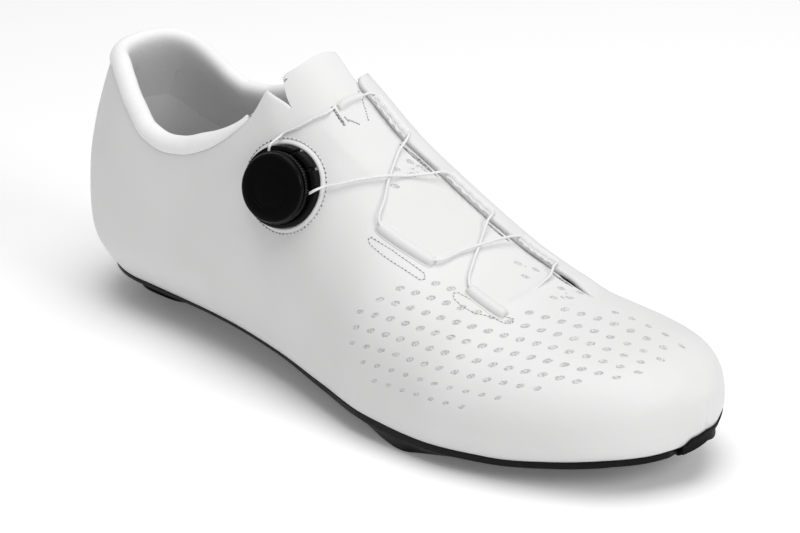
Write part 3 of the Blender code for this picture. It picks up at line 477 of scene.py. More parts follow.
def make_upper_finish():
    """White coated synthetic: a fine matt grain, slight unevenness, and oval perforations in slanting rows.
    The perforations are grey ovals, darkest at their rim, with a slight dent: their grey is painted shade of
    the holes' depth. The attribute gives each point's place in the rows, counted in holes, and the size of
    the holes there."""
    finish = Finish("white_synthetic", roughness=0.46, specular_ior_level=0.42)
    column, row, size = finish.attribute("holes")
    in_column, in_row = (count.math("FRACT", count + 0.5) - 0.5 for count in (column, row))
    half_length, half_width = 2.15, 0.82
    lengthwise = (in_column * 5.66 - in_row * 3.87) / half_length
    crosswise = (in_column * 2.65 + in_row * 4.53) / half_width
    distance = (lengthwise * lengthwise + crosswise * crosswise) ** 0.5
    present = finish.rise(size, 0.3, 0.5)
    inside = (1 - finish.rise(distance / (size + 0.01), 0.75, 1.05)) * present
    rim = finish.rise(distance / (size + 0.01), 0.55, 0.85) * inside
    grain = finish.noise(2600.0, 3.0)
    cloud = finish.noise(30.0, 2.0)
    specks = finish.rise(finish.noise(1500.0, 1.0), 0.42, 0.62)
    tone = finish.mix(finish.rise(cloud, 0.3, 0.75), grey(0.74, 0.002), grey(0.715, 0.003))
    # Painted shade: the perforations darken towards grey, most at their rim, standing in for the shade inside
    # each hole
    tone = finish.mix(inside * (0.14 + 0.44 * specks + 0.12 * rim), tone, grey(0.30))
    finish.link("Base Color", tone)
    finish.link("Roughness", 0.42 + 0.10 * cloud + 0.06 * grain + 0.2 * inside)
    soft = finish.relief(cloud, 0.0006)
    fine = finish.relief(grain, 0.00006, soft)
    finish.link("Normal", finish.relief(1 - inside * (0.5 + 0.5 * specks), 0.00022, fine))
    return finish.material


def make_lining_finish():
    """White knitted lining, soft and dull, with a fine mesh of loops. It darkens from the collar down to the
    insole: painted shade of the shoe's deep inside."""
    finish = Finish("white_lining", roughness=0.92, specular_ior_level=0.2, sheen_weight=0.15,
                    sheen_roughness=0.5)
    place = finish.place()
    weave = finish.node("ShaderNodeTexVoronoi", {"feature": "F1"}, {"Vector": place, "Scale": 1500.0})
    cloud = finish.noise(45.0, 3.0)
    height = finish.node("ShaderNodeSeparateXYZ", {}, {0: place}, output="Z")
    tone = finish.mix(finish.rise(weave, 0.15, 0.75), grey(0.90), grey(0.86))
    # Painted shade: the colour turns grey from 68 mm high down to 26 mm, standing in for the shade deep inside
    # the shoe
    tone = finish.mix(1 - finish.rise(height, 0.026, 0.068), tone, grey(0.30))
    finish.link("Base Color", finish.mix(cloud * 0.15, tone, grey(0.90)))
    finish.link("Normal", finish.relief(1 - weave, 0.00002))
    return finish.material


def make_textile_finish():
    """White woven tape for the tubes: crossing threads with a dull sheen."""
    finish = Finish("white_tape", roughness=0.8, specular_ior_level=0.25)
    place = finish.place()
    warp, weft = (finish.node("ShaderNodeTexWave", {"wave_type": "BANDS", "bands_direction": way},
                              {"Vector": place, "Scale": 520.0}) for way in "XY")
    threads = (warp + weft) * 0.5
    finish.link("Base Color", finish.mix(finish.rise(threads, 0.2, 0.8), grey(0.70), grey(0.82)))
    finish.link("Normal", finish.relief(threads, 0.00006))
    return finish.material


def make_lace_finish():
    """Thin white braided line: the attribute gives the turn round it and the length along it, in metres."""
    finish = Finish("white_lace", roughness=0.55, specular_ior_level=0.35)
    turn, length, _ = finish.attribute("braid")
    turns, twists = turn * 6.0, length * 900.0
    left, right = (phase.math("SINE", phase * pi) for phase in (turns + twists, turns - twists))
    threads = 0.5 + 0.25 * left + 0.25 * right
    finish.link("Base Color", finish.mix(finish.rise(threads, 0.1, 0.6), grey(0.74), grey(0.80)))
    finish.link("Normal", finish.relief(threads, 0.00001))
    return finish.material


def make_thread_finish():
    """White sewing thread."""
    finish = Finish("white_thread", roughness=0.6, specular_ior_level=0.3)
    cloud = finish.noise(900.0, 1.0)
    finish.link("Base Color", finish.mix(cloud, grey(0.60), grey(0.80)))
    return finish.material


def make_plate_finish():
    """Black moulded composite: satin, with a faint fleck and slight unevenness."""
    finish = Finish("black_composite", roughness=0.34, specular_ior_level=0.14)
    fleck = finish.noise(1500.0, 4.0)
    cloud = finish.noise(60.0, 2.0)
    finish.link("Base Color", finish.mix(finish.rise(fleck, 0.5, 0.8), grey(0.001), grey(0.003)))
    finish.link("Roughness", 0.28 + 0.12 * cloud + 0.08 * fleck)
    finish.link("Normal", finish.relief(fleck, 0.00004))
    return finish.material


def make_rubber_finish():
    """Black moulded rubber: matt, finely pebbled."""
    finish = Finish("black_rubber", roughness=0.6, specular_ior_level=0.12)
    pebble = finish.node("ShaderNodeTexVoronoi", {"feature": "SMOOTH_F1"},
                         {"Vector": finish.place(), "Scale": 1400.0})
    cloud = finish.noise(80.0, 2.0)
    finish.link("Base Color", finish.mix(cloud, grey(0.002), grey(0.004)))
    finish.link("Roughness", 0.5 + 0.2 * cloud)
    finish.link("Normal", finish.relief(1 - pebble, 0.00012))
    return finish.material


def make_thread_hole_finish():
    """The shaded mouths of needle holes and slits."""
    finish = Finish("shaded_holes", roughness=0.9, specular_ior_level=0.05)
    cloud = finish.noise(1200.0, 1.0)
    finish.link("Base Color", finish.mix(finish.rise(cloud, 0.35, 0.65), grey(0.16), grey(0.45)))
    return finish.material


def make_dial_finish(name, low, high):
    """Black moulded plastic with a fine eroded surface, between two roughnesses. The attribute is 1 where
    it is polished, on the knob's side, and 0 on its dull face."""
    finish = Finish(name, roughness=low, specular_ior_level=0.05, coat_roughness=0.16)
    polished, _, _ = finish.attribute("polish")
    grain = finish.noise(3200.0, 2.0)
    cloud = finish.noise(120.0, 2.0)
    finish.link("Base Color", finish.mix(cloud, grey(0.0008), grey(0.002)))
    finish.link("Roughness", high + (low - high) * polished + 0.08 * cloud)
    finish.link("Coat Weight", polished * 0.30)
    finish.link("Normal", finish.relief(grain, 0.00002))
    return finish.material


# Camera and light

def make_camera():
    """The photograph's view: slightly from above and in front of the lateral side, through a long lens."""
    azimuth, elevation, distance = radians(41.31), radians(25.87), 1.0
    target = Vector((-0.00352, 0.0, 0.045))
    back = Vector((sin(azimuth) * cos(elevation), -cos(azimuth) * cos(elevation), sin(elevation)))
    data = bpy.data.cameras.new("camera")
    data.lens, data.sensor_width = 117.9, 36.0
    data.shift_x, data.shift_y = 0.0313, -0.0059
    camera = bpy.data.objects.new("camera", data)
    camera.location = target + back * distance
    camera.rotation_euler = (-back).to_track_quat("-Z", "Y").to_euler()
    bpy.context.scene.collection.objects.link(camera)
    bpy.context.scene.camera = camera


def add_light(name, place, target, energy, size):
    """A round area light at a place that faces a target."""
    data = bpy.data.lights.new(name, "AREA")
    data.energy = energy
    data.shape, data.size = "DISK", size
    light = bpy.data.objects.new(name, data)
    light.location = place
    light.rotation_euler = (Vector(target) - Vector(place)).to_track_quat("-Z", "Y").to_euler()
    bpy.context.scene.collection.objects.link(light)


def make_studio():
    """A pale floor, an even white surround and two soft lights from above."""
    world = bpy.data.worlds.new("surround")
    world.use_nodes = True
    world.node_tree.nodes["Background"].inputs["Color"].default_value = (1, 1, 1, 1)
    world.node_tree.nodes["Background"].inputs["Strength"].default_value = 0.42
    bpy.context.scene.world = world
    bpy.context.scene.view_settings.view_transform = "Standard"
    add_light("overhead", (0.10, -0.04, 1.3), (0.02, 0, 0.03), 10.0, 1.1)
    add_light("front", (1.1, 0, 0.8), (-0.05, 0, 0.07), 4.8, 0.6)
    mesh = bpy.data.meshes.new("floor")
    corners = [(-6.0, -6.0, 0.0), (6.0, -6.0, 0.0), (6.0, 6.0, 0.0), (-6.0, 6.0, 0.0)]
    mesh.from_pydata(corners, [], [(0, 1, 2, 3)])
    finish = Finish("pale_floor", base_color=(0.95, 0.95, 0.95, 1), roughness=0.8, specular_ior_level=0.1,
                    emission_color=(1, 1, 1, 1), emission_strength=0.09)
    mesh.materials.append(finish.material)
    floor = bpy.data.objects.new("floor", mesh)
    bpy.context.scene.collection.objects.link(floor)


# Dial's seat, as in the part
DIAL_PLACE = 0.4274
DIAL_ACROSS = 1.387
DIAL_TOEWARD = radians(12)
DIAL_UPWARD = radians(17.5)
BASE_RADIUS = 0.0155
KNOB_RADIUS = 0.01375

LACE_RADIUS = 0.0005

# How high the medial edge lies over the flap under it
EDGE_LIFT = WALL + 1.6 * GAP

DIAL_AXIS = np.array([sin(DIAL_TOEWARD) * cos(DIAL_UPWARD), -cos(DIAL_TOEWARD) * cos(DIAL_UPWARD),
                      sin(DIAL_UPWARD)])
DIAL_FIRST = unit(np.cross([0, 0, 1], DIAL_AXIS))
DIAL_SECOND = np.cross(DIAL_AXIS, DIAL_FIRST)
DIAL_SEAT = form_points(to_turn(DIAL_PLACE), DIAL_ACROSS)


def node_points(name):
    """The corners of a node's mesh."""
    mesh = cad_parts[name].data
    points = np.zeros(3 * len(mesh.vertices))
    mesh.vertices.foreach_get("co", points)
    return points.reshape(-1, 3)


# The heights of the dial's two pieces over its seat
BASE_TOP = ((node_points("dial_base") - DIAL_SEAT) @ DIAL_AXIS).max()
KNOB_LOW = ((node_points("dial_knob") - DIAL_SEAT) @ DIAL_AXIS).min()


def dial_points(around, radius, height=0.0):
    """Points by their turns round the dial, their distances from its axis and their heights on it."""
    spokes = np.cos(around)[:, None] * DIAL_FIRST + np.sin(around)[:, None] * DIAL_SECOND
    return DIAL_SEAT + spokes * np.asarray(radius)[..., None] + DIAL_AXIS * np.asarray(height)[..., None]


def turned(profile, around):
    """A surface turned round the dial's axis from rows of radius and height. Either may be an array over the
    turn, as on a knurled or notched rim."""
    return np.stack([dial_points(around, np.broadcast_to(radius, around.shape), height)
                     for radius, height in profile])


# The perforations: for each row, its number and the numbers of its first and last hole
HOLE_ROWS = ((-5, 8, 12), (-4, 5, 11), (-3, -3, -2), (-3, 3, 11), (-2, -5, 10), (-1, -6, 10), (0, -7, 9),
             (1, -7, 7), (2, -7, 5), (3, -6, 3), (4, -5, 1))

# The few holes on the flap and before the throat's end, by place and place across
SINGLE_HOLES = ((0.544, 1.943), (0.559, 1.984), (0.542, 1.854), (0.557, 1.909), (0.554, 1.793), (0.702, 2.013),
                (0.721, 2.065), (0.723, 1.978), (0.762, 2.051), (0.769, 1.970), (0.781, 2.016), (0.780, 2.108))
# The steps from hole to hole along a row and from row to row, in millimetres forwards and downwards
ROW_STEP = np.array([6.2, 0.8])
NEXT_ROW_STEP = np.array([-2.3, 5.5])


def hole_lattice(place, across, points):
    """Each point's place in the pattern of holes: a number of holes along the slanting rows, a number of
    rows, and the size of the hole at the nearest whole numbers. The two numbers are cubic in the form's
    parameters. Round a single hole they are counted from its own middle."""
    p, c = place - 0.75, across - 1.6
    column = 0.97 + 46.6 * p + 4.1 * c + 1.6 * p * p - 4.8 * p * c + 5.7 * c * c
    column += 6.4 * p ** 3 - 25 * p * p * c - 8.9 * p * c * c + 1.9 * c ** 3
    row = -0.83 + 13.2 * p - 10.7 * c - 57 * p * p + 13.5 * p * c - 1.2 * c * c
    row += 67 * p ** 3 - 63 * p * p * c - 3.6 * p * c * c
    near_column, near_row = np.round(column), np.round(row)
    size = np.zeros_like(column)
    for number, first, last in HOLE_ROWS:
        size[(near_row == number) & (near_column >= first) & (near_column <= last)] = 1
    size *= (1 - 0.30 * ease(near_row, 1, 3.5) - 0.12 * ease(near_column, 6, 10)
             - 0.15 * ease(-near_column, 5, 7))
    to_steps = np.linalg.inv(np.stack([ROW_STEP, NEXT_ROW_STEP], 1))
    nearest = np.full(column.shape, 0.0045)
    for hole_place, hole_across in SINGLE_HOLES:
        turn, step = to_turn(hole_place), 1e-3
        middle = form_points(turn, hole_across)
        forwards = unit(form_points(turn + step, hole_across) - middle)
        downwards = unit(form_points(turn, hole_across - step) - middle)
        away = points - middle
        distance = np.linalg.norm(away, axis=-1)
        steps = np.stack([away @ forwards, 0.65 * (away @ downwards)], -1) * 1000 @ to_steps.T
        near = distance < nearest
        column, row = np.where(near, steps[..., 0], column), np.where(near, steps[..., 1], row)
        size = np.where(near, 0.8 * (distance < 0.0026), size)
        nearest = np.minimum(nearest, distance)
    return np.stack([column, row, size], -1)


def peak_flare(place, across):
    """How far the lateral side's peak before the notch bends outwards."""
    lengthwise = ease(place, 0.335, PEAK_PLACE) * (1 - ease(place, PEAK_PLACE, NOTCH_PLACE))
    return PEAK_FLARE * lengthwise * ease(across, 1.47, PEAK_ACROSS + 0.03)


def edge_lift(place, across):
    """How far the medial edge stands out over the flap that lies under it."""
    edge, _ = throat_edge(place)
    lengthwise = ease(place, 0.36, 0.42) * (1 - ease(place, LIFTED_PLACE, SLIT_END))
    return EDGE_LIFT * lengthwise * (1 - ease(across - edge, 0.10, 0.36))


def skin_stations():
    """The ribs' places from the back of the heel to the toe, with one at each place where an edge turns."""
    heel = -np.cos(np.linspace(0, pi / 2, 26))[:-1]
    turning = np.array([HEEL_X, PEAK_PLACE, NOTCH_PLACE, CORNER_PLACE, 0.58, LIFTED_PLACE, SLIT_END, 0.94])
    counts = [36, 9, 8, 26, 46, 12, 42]
    spans = zip(to_turn(turning[:-1]), to_turn(turning[1:]), counts)
    front = [np.linspace(first, last, count, endpoint=False) for first, last, count in spans]
    toe = to_turn(0.94) + (SKIN_END - to_turn(0.94)) * np.linspace(0, 1, 32)
    return np.concatenate([heel, *front, toe])


def skin_grids():
    """The upper's three parts as grids of the form's two parameters: the lateral side, the flap with its
    tab, and the medial side. Each row is a rib, and the columns run up the lateral side and down the medial
    one."""
    along = skin_stations()
    place = station_x(along)
    rim = smooth_table(RIM, place) * COLLAR_HEIGHT
    lateral_rim = across_at_height(along, rim[:, 0], -1)
    medial_rim = across_at_height(along, rim[:, 1], 1)
    edge, overlap = throat_edge(to_place(along))
    notch_side = PEAK_ACROSS + (FLAP_ACROSS - PEAK_ACROSS) * ease(place, PEAK_PLACE, NOTCH_PLACE)
    lateral_top = np.where(place > PEAK_PLACE + 1e-6, notch_side, np.minimum(lateral_rim, PEAK_ACROSS))
    past_corner = np.clip((to_place(along) - CORNER_PLACE) / MEDIAL_ROUND[1], 0, 1)
    rounding = MEDIAL_ROUND[0] * (1 - np.sqrt(1 - (1 - past_corner) ** 2))
    medial_top = np.where(place > CORNER_PLACE - 1e-6, edge + rounding, np.maximum(medial_rim, edge))
    low, high = np.linspace(0, 1, 11), np.linspace(0, 1, 46)[1:]
    lateral = np.concatenate([np.tile(low, (len(along), 1)), 1 + (lateral_top[:, None] - 1) * high], axis=1)
    medial = np.concatenate([medial_top[:, None] + (3 - medial_top[:, None]) * (1 - high[::-1]),
                             3 + np.tile(low, (len(along), 1))], axis=1)
    first = int(np.argmin(np.abs(place - NOTCH_PLACE)))
    spread = np.concatenate([[0, 0.006, 0.014, 0.025, 0.04, 0.06], np.linspace(0.085, 1, 38)])
    flap = FLAP_ACROSS + ((edge + overlap)[first:, None] - FLAP_ACROSS) * spread
    steps = np.linspace(0, 1, 18)[:-1, None]
    tab_across = TAB_ACROSS + (flap[0] - TAB_ACROSS) * spread * 0.999
    tab = flap[0] + (tab_across - flap[0]) * (1 - steps) ** TAB_CURVE
    from_corner = np.clip((tab_across - TAB_ACROSS) / TAB_ROUND[0], 0, 1)
    rounding = TAB_ROUND[1] * (1 - from_corner) ** 2
    top = smooth_table(TAB_TOP, tab_across)[:, 0] + rounding
    tab_along = to_turn(top + (NOTCH_PLACE - top) * steps)
    flap_along = in_columns(along[first:], len(spread))
    side_along = in_columns(along, lateral.shape[1])
    return ((side_along, lateral), (np.concatenate([tab_along, flap_along]), np.concatenate([tab, flap])),
            (side_along, medial))


def near_line(place, across, line, width):
    """1 on a line of places and places across, falling smoothly to 0 at a width from it, in metres."""
    line = np.array(line)
    scale = np.array([LENGTH, 0.055])
    here = np.stack([place, across], -1) * scale
    starts, ends = line[:-1] * scale, line[1:] * scale
    run = ends - starts
    share = ((here[..., None, :] - starts) * run).sum(-1) / (run ** 2).sum(-1)
    nearest = starts + np.clip(share, 0, 1)[..., None] * run
    distance = np.sqrt(((here[..., None, :] - nearest) ** 2).sum(-1)).min(-1)
    return 1 - ease(distance, 0, width)


LOWER_TUNNEL = ((0.733, 2.100), (0.743, 1.984), (0.748, 1.897), (0.744, 1.822))
SLIT_TUNNEL = ((0.453, 1.842), (0.457, 1.890), (0.462, 1.946))
# The flap's crease, by place and place across
CREASE = np.array([
    [0.425, 1.660], [0.447, 1.678], [0.486, 1.702], [0.531, 1.744], [0.598, 1.859], [0.654, 1.949],
    [0.700, 2.010],
])
CREASE_SLOPE = 0.20
CREASE_WIDTH = 0.010
RIB_LENGTH = 0.055


def skin_relief(place, across):
    """The low forms on the skin: ridges over hidden lace, the flap's crease with the slope beside it, which
    falls as d times the exponential of -d with the distance d, and a slight unevenness of the whole
    surface."""
    uneven = 0.00018 * np.sin(9.0 * place + 2.1 * across) * np.sin(23.0 * place - 5.0 * across + 1.3)
    ridges = 0.0007 * near_line(place, across, LOWER_TUNNEL, 0.0026)
    ridges += 0.0007 * near_line(place, across, SLIT_TUNNEL, 0.0026)
    crease = smooth_table(CREASE, place.ravel())[:, 0].reshape(place.shape)
    away = np.maximum(crease - across, 0) * RIB_LENGTH
    fade = ease(place, 0.425, 0.47) * (1 - ease(place, 0.62, 0.70))
    slope = CREASE_SLOPE * away * np.exp(-away / CREASE_WIDTH) * fade
    return uneven + ridges - slope


def make_skin(finish, lining):
    """The upper: the form's surface between its edges, with the medial edge lifted over the flap, closed at
    the toe's tip and given its wall inwards."""
    points, faces, holes, chain, first = [], [], [], [], 0
    lateral, flap, medial = skin_grids()
    for number, (along, across) in enumerate((lateral, flap, medial)):
        place = to_place(along)
        base = form_points(along, across)
        height = skin_relief(place, across)
        if number == 0:
            height = height + peak_flare(place, across)
        if number == 2:
            height = height + edge_lift(place, across)
        points.append((base + form_normals(along, across) * height[..., None]).reshape(-1, 3))
        faces.append(grid_faces(*along.shape, first))
        holes.append(hole_lattice(place, across, base).reshape(-1, 3))
        rows, columns = along.shape
        row = first + (rows - 1) * columns + np.arange(columns)
        chain.append(row[min(number, 1):])
        first += rows * columns
    points, chain = np.concatenate(points), np.concatenate(chain)
    tip = (points[chain[0]] + points[chain[-1]]) / 2
    tip[0] = HEEL_BACK + LENGTH
    faces.append(np.column_stack([chain[:-1], np.full(len(chain) - 1, len(points)), chain[1:]]))
    points = np.vstack([points, tip])
    holes = np.vstack([np.concatenate(holes), [0, 0, 0]])
    skin = add_piece("upper_skin", points, faces, finish, {"holes": holes}, crease=45)
    skin.data.materials.append(lining)
    wall = skin.modifiers.new("wall", "SOLIDIFY")
    wall.thickness = WALL
    wall.offset = -1
    wall.use_quality_normals = True
    wall.material_offset = 1
    wall.material_offset_rim = 0
    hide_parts("upper")


def collar_stations():
    """The collar's line, from its lateral end round the heel to its medial end, as the form's two
    parameters."""
    runs = []
    for column, side, end in ((0, -1, 0.353), (1, 1, 0.388)):
        last = to_turn(end)
        along = np.concatenate([-np.cos(np.linspace(0, pi / 2, 30))[:-1], np.linspace(0, last, 44)])
        rim = smooth_table(RIM, station_x(along))[:, column] * COLLAR_HEIGHT
        runs.append((along, across_at_height(along, rim, side)))
    lateral, medial = runs
    return [np.concatenate([a[::-1], b[1:]]) for a, b in zip(lateral, medial)]


# The collar's roll in cross-section, in millimetres: outwards from the skin and up from the rim
ROLL_SECTION = np.array([
    [0.25, -0.25], [0.75, 0.35], [1.10, 1.40], [1.15, 2.70], [0.80, 4.10], [0.05, 5.40], [-1.10, 6.35],
    [-2.60, 6.75], [-4.10, 6.40], [-5.35, 5.30], [-6.00, 3.70], [-6.20, 1.90],
])
# The padded lining inside it: inwards from the skin and down from the rim
TAIL_SECTION = np.array([
    [-6.15, 0.0], [-5.95, 2.5], [-5.50, 5.5], [-4.85, 9.0], [-4.10, 13.0], [-3.30, 17.5], [-2.50, 22.0],
    [-1.95, 26.0],
])


def make_collar(finish):
    """The padded collar: a soft roll over the rim that runs on inside as padding and thins out on the wall.
    Its section is carried along the rim, and it narrows towards both ends."""
    along, across = collar_stations()
    edge, out = form_points(along, across), form_normals(along, across)
    tangent = unit(np.gradient(edge, axis=0))
    up = unit(np.cross(tangent, out))
    length = run_lengths(edge)
    from_end = np.minimum(length, length[-1] - length)
    full = 0.30 + 0.70 * ease(from_end, -0.004, 0.030)
    section = ROLL_SECTION / 1000
    roll = (edge[:, None] + out[:, None] * (section[:, 0] * full[:, None])[..., None]
            + up[:, None] * (section[:, 1] * full[:, None])[..., None])
    tail = TAIL_SECTION / 1000
    deep = np.minimum(tail[:, 1] * full[:, None], 0.026)
    start = (in_columns(values, len(tail)) for values in (along, across, -up))
    tail_along, tail_across = walk(*start, deep, 6)
    normal = form_normals(tail_along, tail_across)
    inward = np.maximum(-tail[:, 0] * full[:, None], WALL + 0.0001)
    inner = form_points(tail_along, tail_across) - normal * inward[..., None]
    back = form_points(tail_along, tail_across)[:, ::-1] - normal[:, ::-1] * WALL * 0.6
    points, faces = end_fans(np.concatenate([roll, inner, back], axis=1))
    collar = add_piece("collar_roll", points, faces, finish, crease=60, outward=True)
    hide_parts("collar_padding")


def edge_height(x):
    """The height of the upper's lower edge at an x."""
    along = np.concatenate([np.linspace(-1, 0, 40, endpoint=False), np.linspace(0, 1, 160)])
    edge = form_points(along, 0.0)
    return np.interp(x, edge[:, 0], edge[:, 2])


def sole_outline(along, inset):
    """The sole's lateral and medial edges, set inwards squarely to the outline."""
    edges = []
    for across, side in ((0.0, -1), (4.0, 1)):
        tangent = form_points(along + 1e-3, across) - form_points(along - 1e-3, across)
        inward = unit(np.stack([side * tangent[:, 1], -side * tangent[:, 0], 0 * along], 1))
        edges.append(form_points(along, across) + inward * np.broadcast_to(inset, along.shape)[:, None])
    return edges


# The plate's underside, by rows of place and height as a share of the sole's lift
PLATE_BOTTOM = np.array([
    [0.00, 0.900], [0.03, 0.680], [0.06, 0.470], [0.07, 0.440], [0.20, 0.440], [0.28, 0.640], [0.38, 0.760],
    [0.48, 0.690], [0.57, 0.380], [0.63, 0.060], [0.66, 0.000], [0.80, 0.000], [0.86, 0.100], [0.93, 0.420],
    [1.00, 0.900],
])
# How far its sides are drawn in, by rows of place and share of the ball's width
PLATE_INSET = np.array([
    [0.00, 0.150], [0.20, 0.150], [0.32, 0.125], [0.46, 0.120], [0.56, 0.100], [0.63, 0.047], [0.67, 0.031],
    [0.69, 0.060], [0.73, 0.110], [0.78, 0.135], [0.84, 0.172], [0.92, 0.172], [1.00, 0.060],
])
TOE_PAD_MEDIAL = 0.950
TOE_PAD_LATERAL = 0.989
TOE_PAD_START = 0.9905
BUMPER_RISE = 0.36
BUMPER_MEDIAL = 0.62
PLATE_EDGE = 0.0024
PAD_DROP = 0.0026
PAD_FOOT = 0.0014
PAD_THICKNESS = 0.0013
PAD_LIP = 0.0012
PAD_PROUD = 0.0008
PAD_SWELL = 1.3
PAD_REACH = 0.0048

HEEL_PAD_LENGTH = 0.0330
HEEL_PAD_WIDTH = 0.0260
HEEL_PAD_BACK = 0.0175

INSOLE_THICKNESS = 0.003
INSOLE_MARGIN = 0.0012

# The cleat's bolts, by place along the length and share of the ball's width
BOLTS = ((0.70, 0.0), (0.765, -0.15), (0.765, 0.15))
BOLT_DIAMETER = 0.005
BOLT_DEPTH = 0.0045
BOLT_SHIFT = 0.003


def plate_bottom(x):
    """The height of the plate's underside. Over the toe pad the plate is a thin slab."""
    place = (x - HEEL_BACK) / LENGTH
    hull = smooth_table(PLATE_BOTTOM, place.ravel())[:, 0].reshape(place.shape) * SOLE_LIFT
    slab = edge_height(x) - GAP - PLATE_EDGE
    return hull + (np.maximum(slab, hull) - hull) * ease(place, TOE_PAD_MEDIAL - 0.028, TOE_PAD_MEDIAL - 0.004)


def make_plate(finish):
    """The sole's plate: rings across it from the heel to the toe, with an upright edge and a hull that slopes
    in to the flat bottom, rounded where they meet."""
    toe_start = to_turn(TOE_PAD_MEDIAL + 0.003)
    along = np.concatenate([-np.cos(np.linspace(0.12, pi / 2, 26))[:-1], to_turn(np.linspace(HEEL_X, 0.90, 90)),
                            to_turn(np.linspace(0.906, 0.950, 12)), np.linspace(toe_start, LAST_TURN, 24)])
    place = to_place(along)
    lateral, _ = sole_outline(along, (PAD_LIP + GAP) * ease(place, TOE_PAD_LATERAL - 0.006, TOE_PAD_LATERAL))
    _, medial = sole_outline(along, (PAD_LIP + GAP) * ease(place, TOE_PAD_MEDIAL - 0.006, TOE_PAD_MEDIAL))
    across = medial - lateral
    middle_place = ((lateral + medial)[:, 0] / 2 - HEEL_BACK) / LENGTH
    inset = smooth_table(PLATE_INSET, middle_place)[:, 0] * BALL_WIDTH
    inward = np.minimum(inset / np.linalg.norm(across, axis=1), 0.42)[:, None]
    slope = np.array([0, 0.02, 0.25, 0.5, 0.75, 0.9, 0.97, 1.05])
    fall = np.array([0, 0.06, 0.28, 0.52, 0.77, 0.92, 0.985, 1.0])
    flat = np.linspace(0, 1, 10)[1:-1]
    start = inward * 1.05
    shares = np.concatenate([0 * inward, inward * slope, start + (1 - 2 * start) * flat,
                             1 - inward * slope[::-1], 1 + 0 * inward], axis=1)
    drop_share = np.concatenate([[0], fall, np.ones(len(flat)), fall[::-1], [0]])
    rings = lateral[:, None] + across[:, None] * shares[..., None]
    top = edge_height(rings[..., 0]) - GAP
    side = top - PLATE_EDGE * (0.5 + 0.5 * ease(middle_place, 0.35, 0.62))[:, None]
    bottom = np.minimum(plate_bottom(rings[..., 0]), side)
    rings[..., 2] = side - (side - bottom) * drop_share
    rings[:, 0, 2] = top[:, 0]
    rings[:, -1, 2] = top[:, -1]
    points, faces = end_fans(rings)
    plate = add_piece("sole_plate", points, faces, finish, crease=40, outward=True)
    cut_bolt_holes(plate)
    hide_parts("outsole")
    return plate


def cut_bolt_holes(plate):
    """Cuts the three blind holes for a cleat's bolts into the plate from below."""
    cutters = []
    for bolt_place, bolt_side in BOLTS:
        centre = (HEEL_BACK + bolt_place * LENGTH, bolt_side * BALL_WIDTH + BOLT_SHIFT, 0)
        bpy.ops.mesh.primitive_cylinder_add(vertices=40, radius=BOLT_DIAMETER / 2, depth=2 * BOLT_DEPTH,
                                            location=centre)
        cutters.append(bpy.context.object)
        cut = plate.modifiers.new("hole", "BOOLEAN")
        cut.operation = "DIFFERENCE"
        cut.object = cutters[-1]
    view = bpy.context.evaluated_depsgraph_get()
    whole = bpy.data.meshes.new_from_object(plate.evaluated_get(view))
    plate.modifiers.clear()
    plate.data = whole
    for cutter in cutters:
        bpy.data.objects.remove(cutter)


def make_heel_pad(finish):
    """The rubber pad under the heel: superellipse rings with rounded edges."""
    around = np.linspace(0, 2 * pi, 160, endpoint=False)
    middle = HEEL_BACK + HEEL_PAD_BACK + HEEL_PAD_LENGTH / 2
    power = 2 / 3.2
    rings = []
    for height, inset in ((0.0061, 0.0), (0.0016, 0.0), (0.0011, 0.00008), (0.0006, 0.0003), (0.0002, 0.0007),
                          (0.0, 0.0012)):
        x, y = (np.sign(share) * np.abs(share) ** power * (size / 2 - inset)
                for share, size in ((np.cos(around), HEEL_PAD_LENGTH), (np.sin(around), HEEL_PAD_WIDTH)))
        rings.append(np.stack([x + middle, y, np.full(len(x), height)], 1))
    points, faces = end_fans(np.array(rings))
    pad = add_piece("heel_rubber", points, faces, finish, crease=35, outward=True)
    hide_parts("heel_pad")


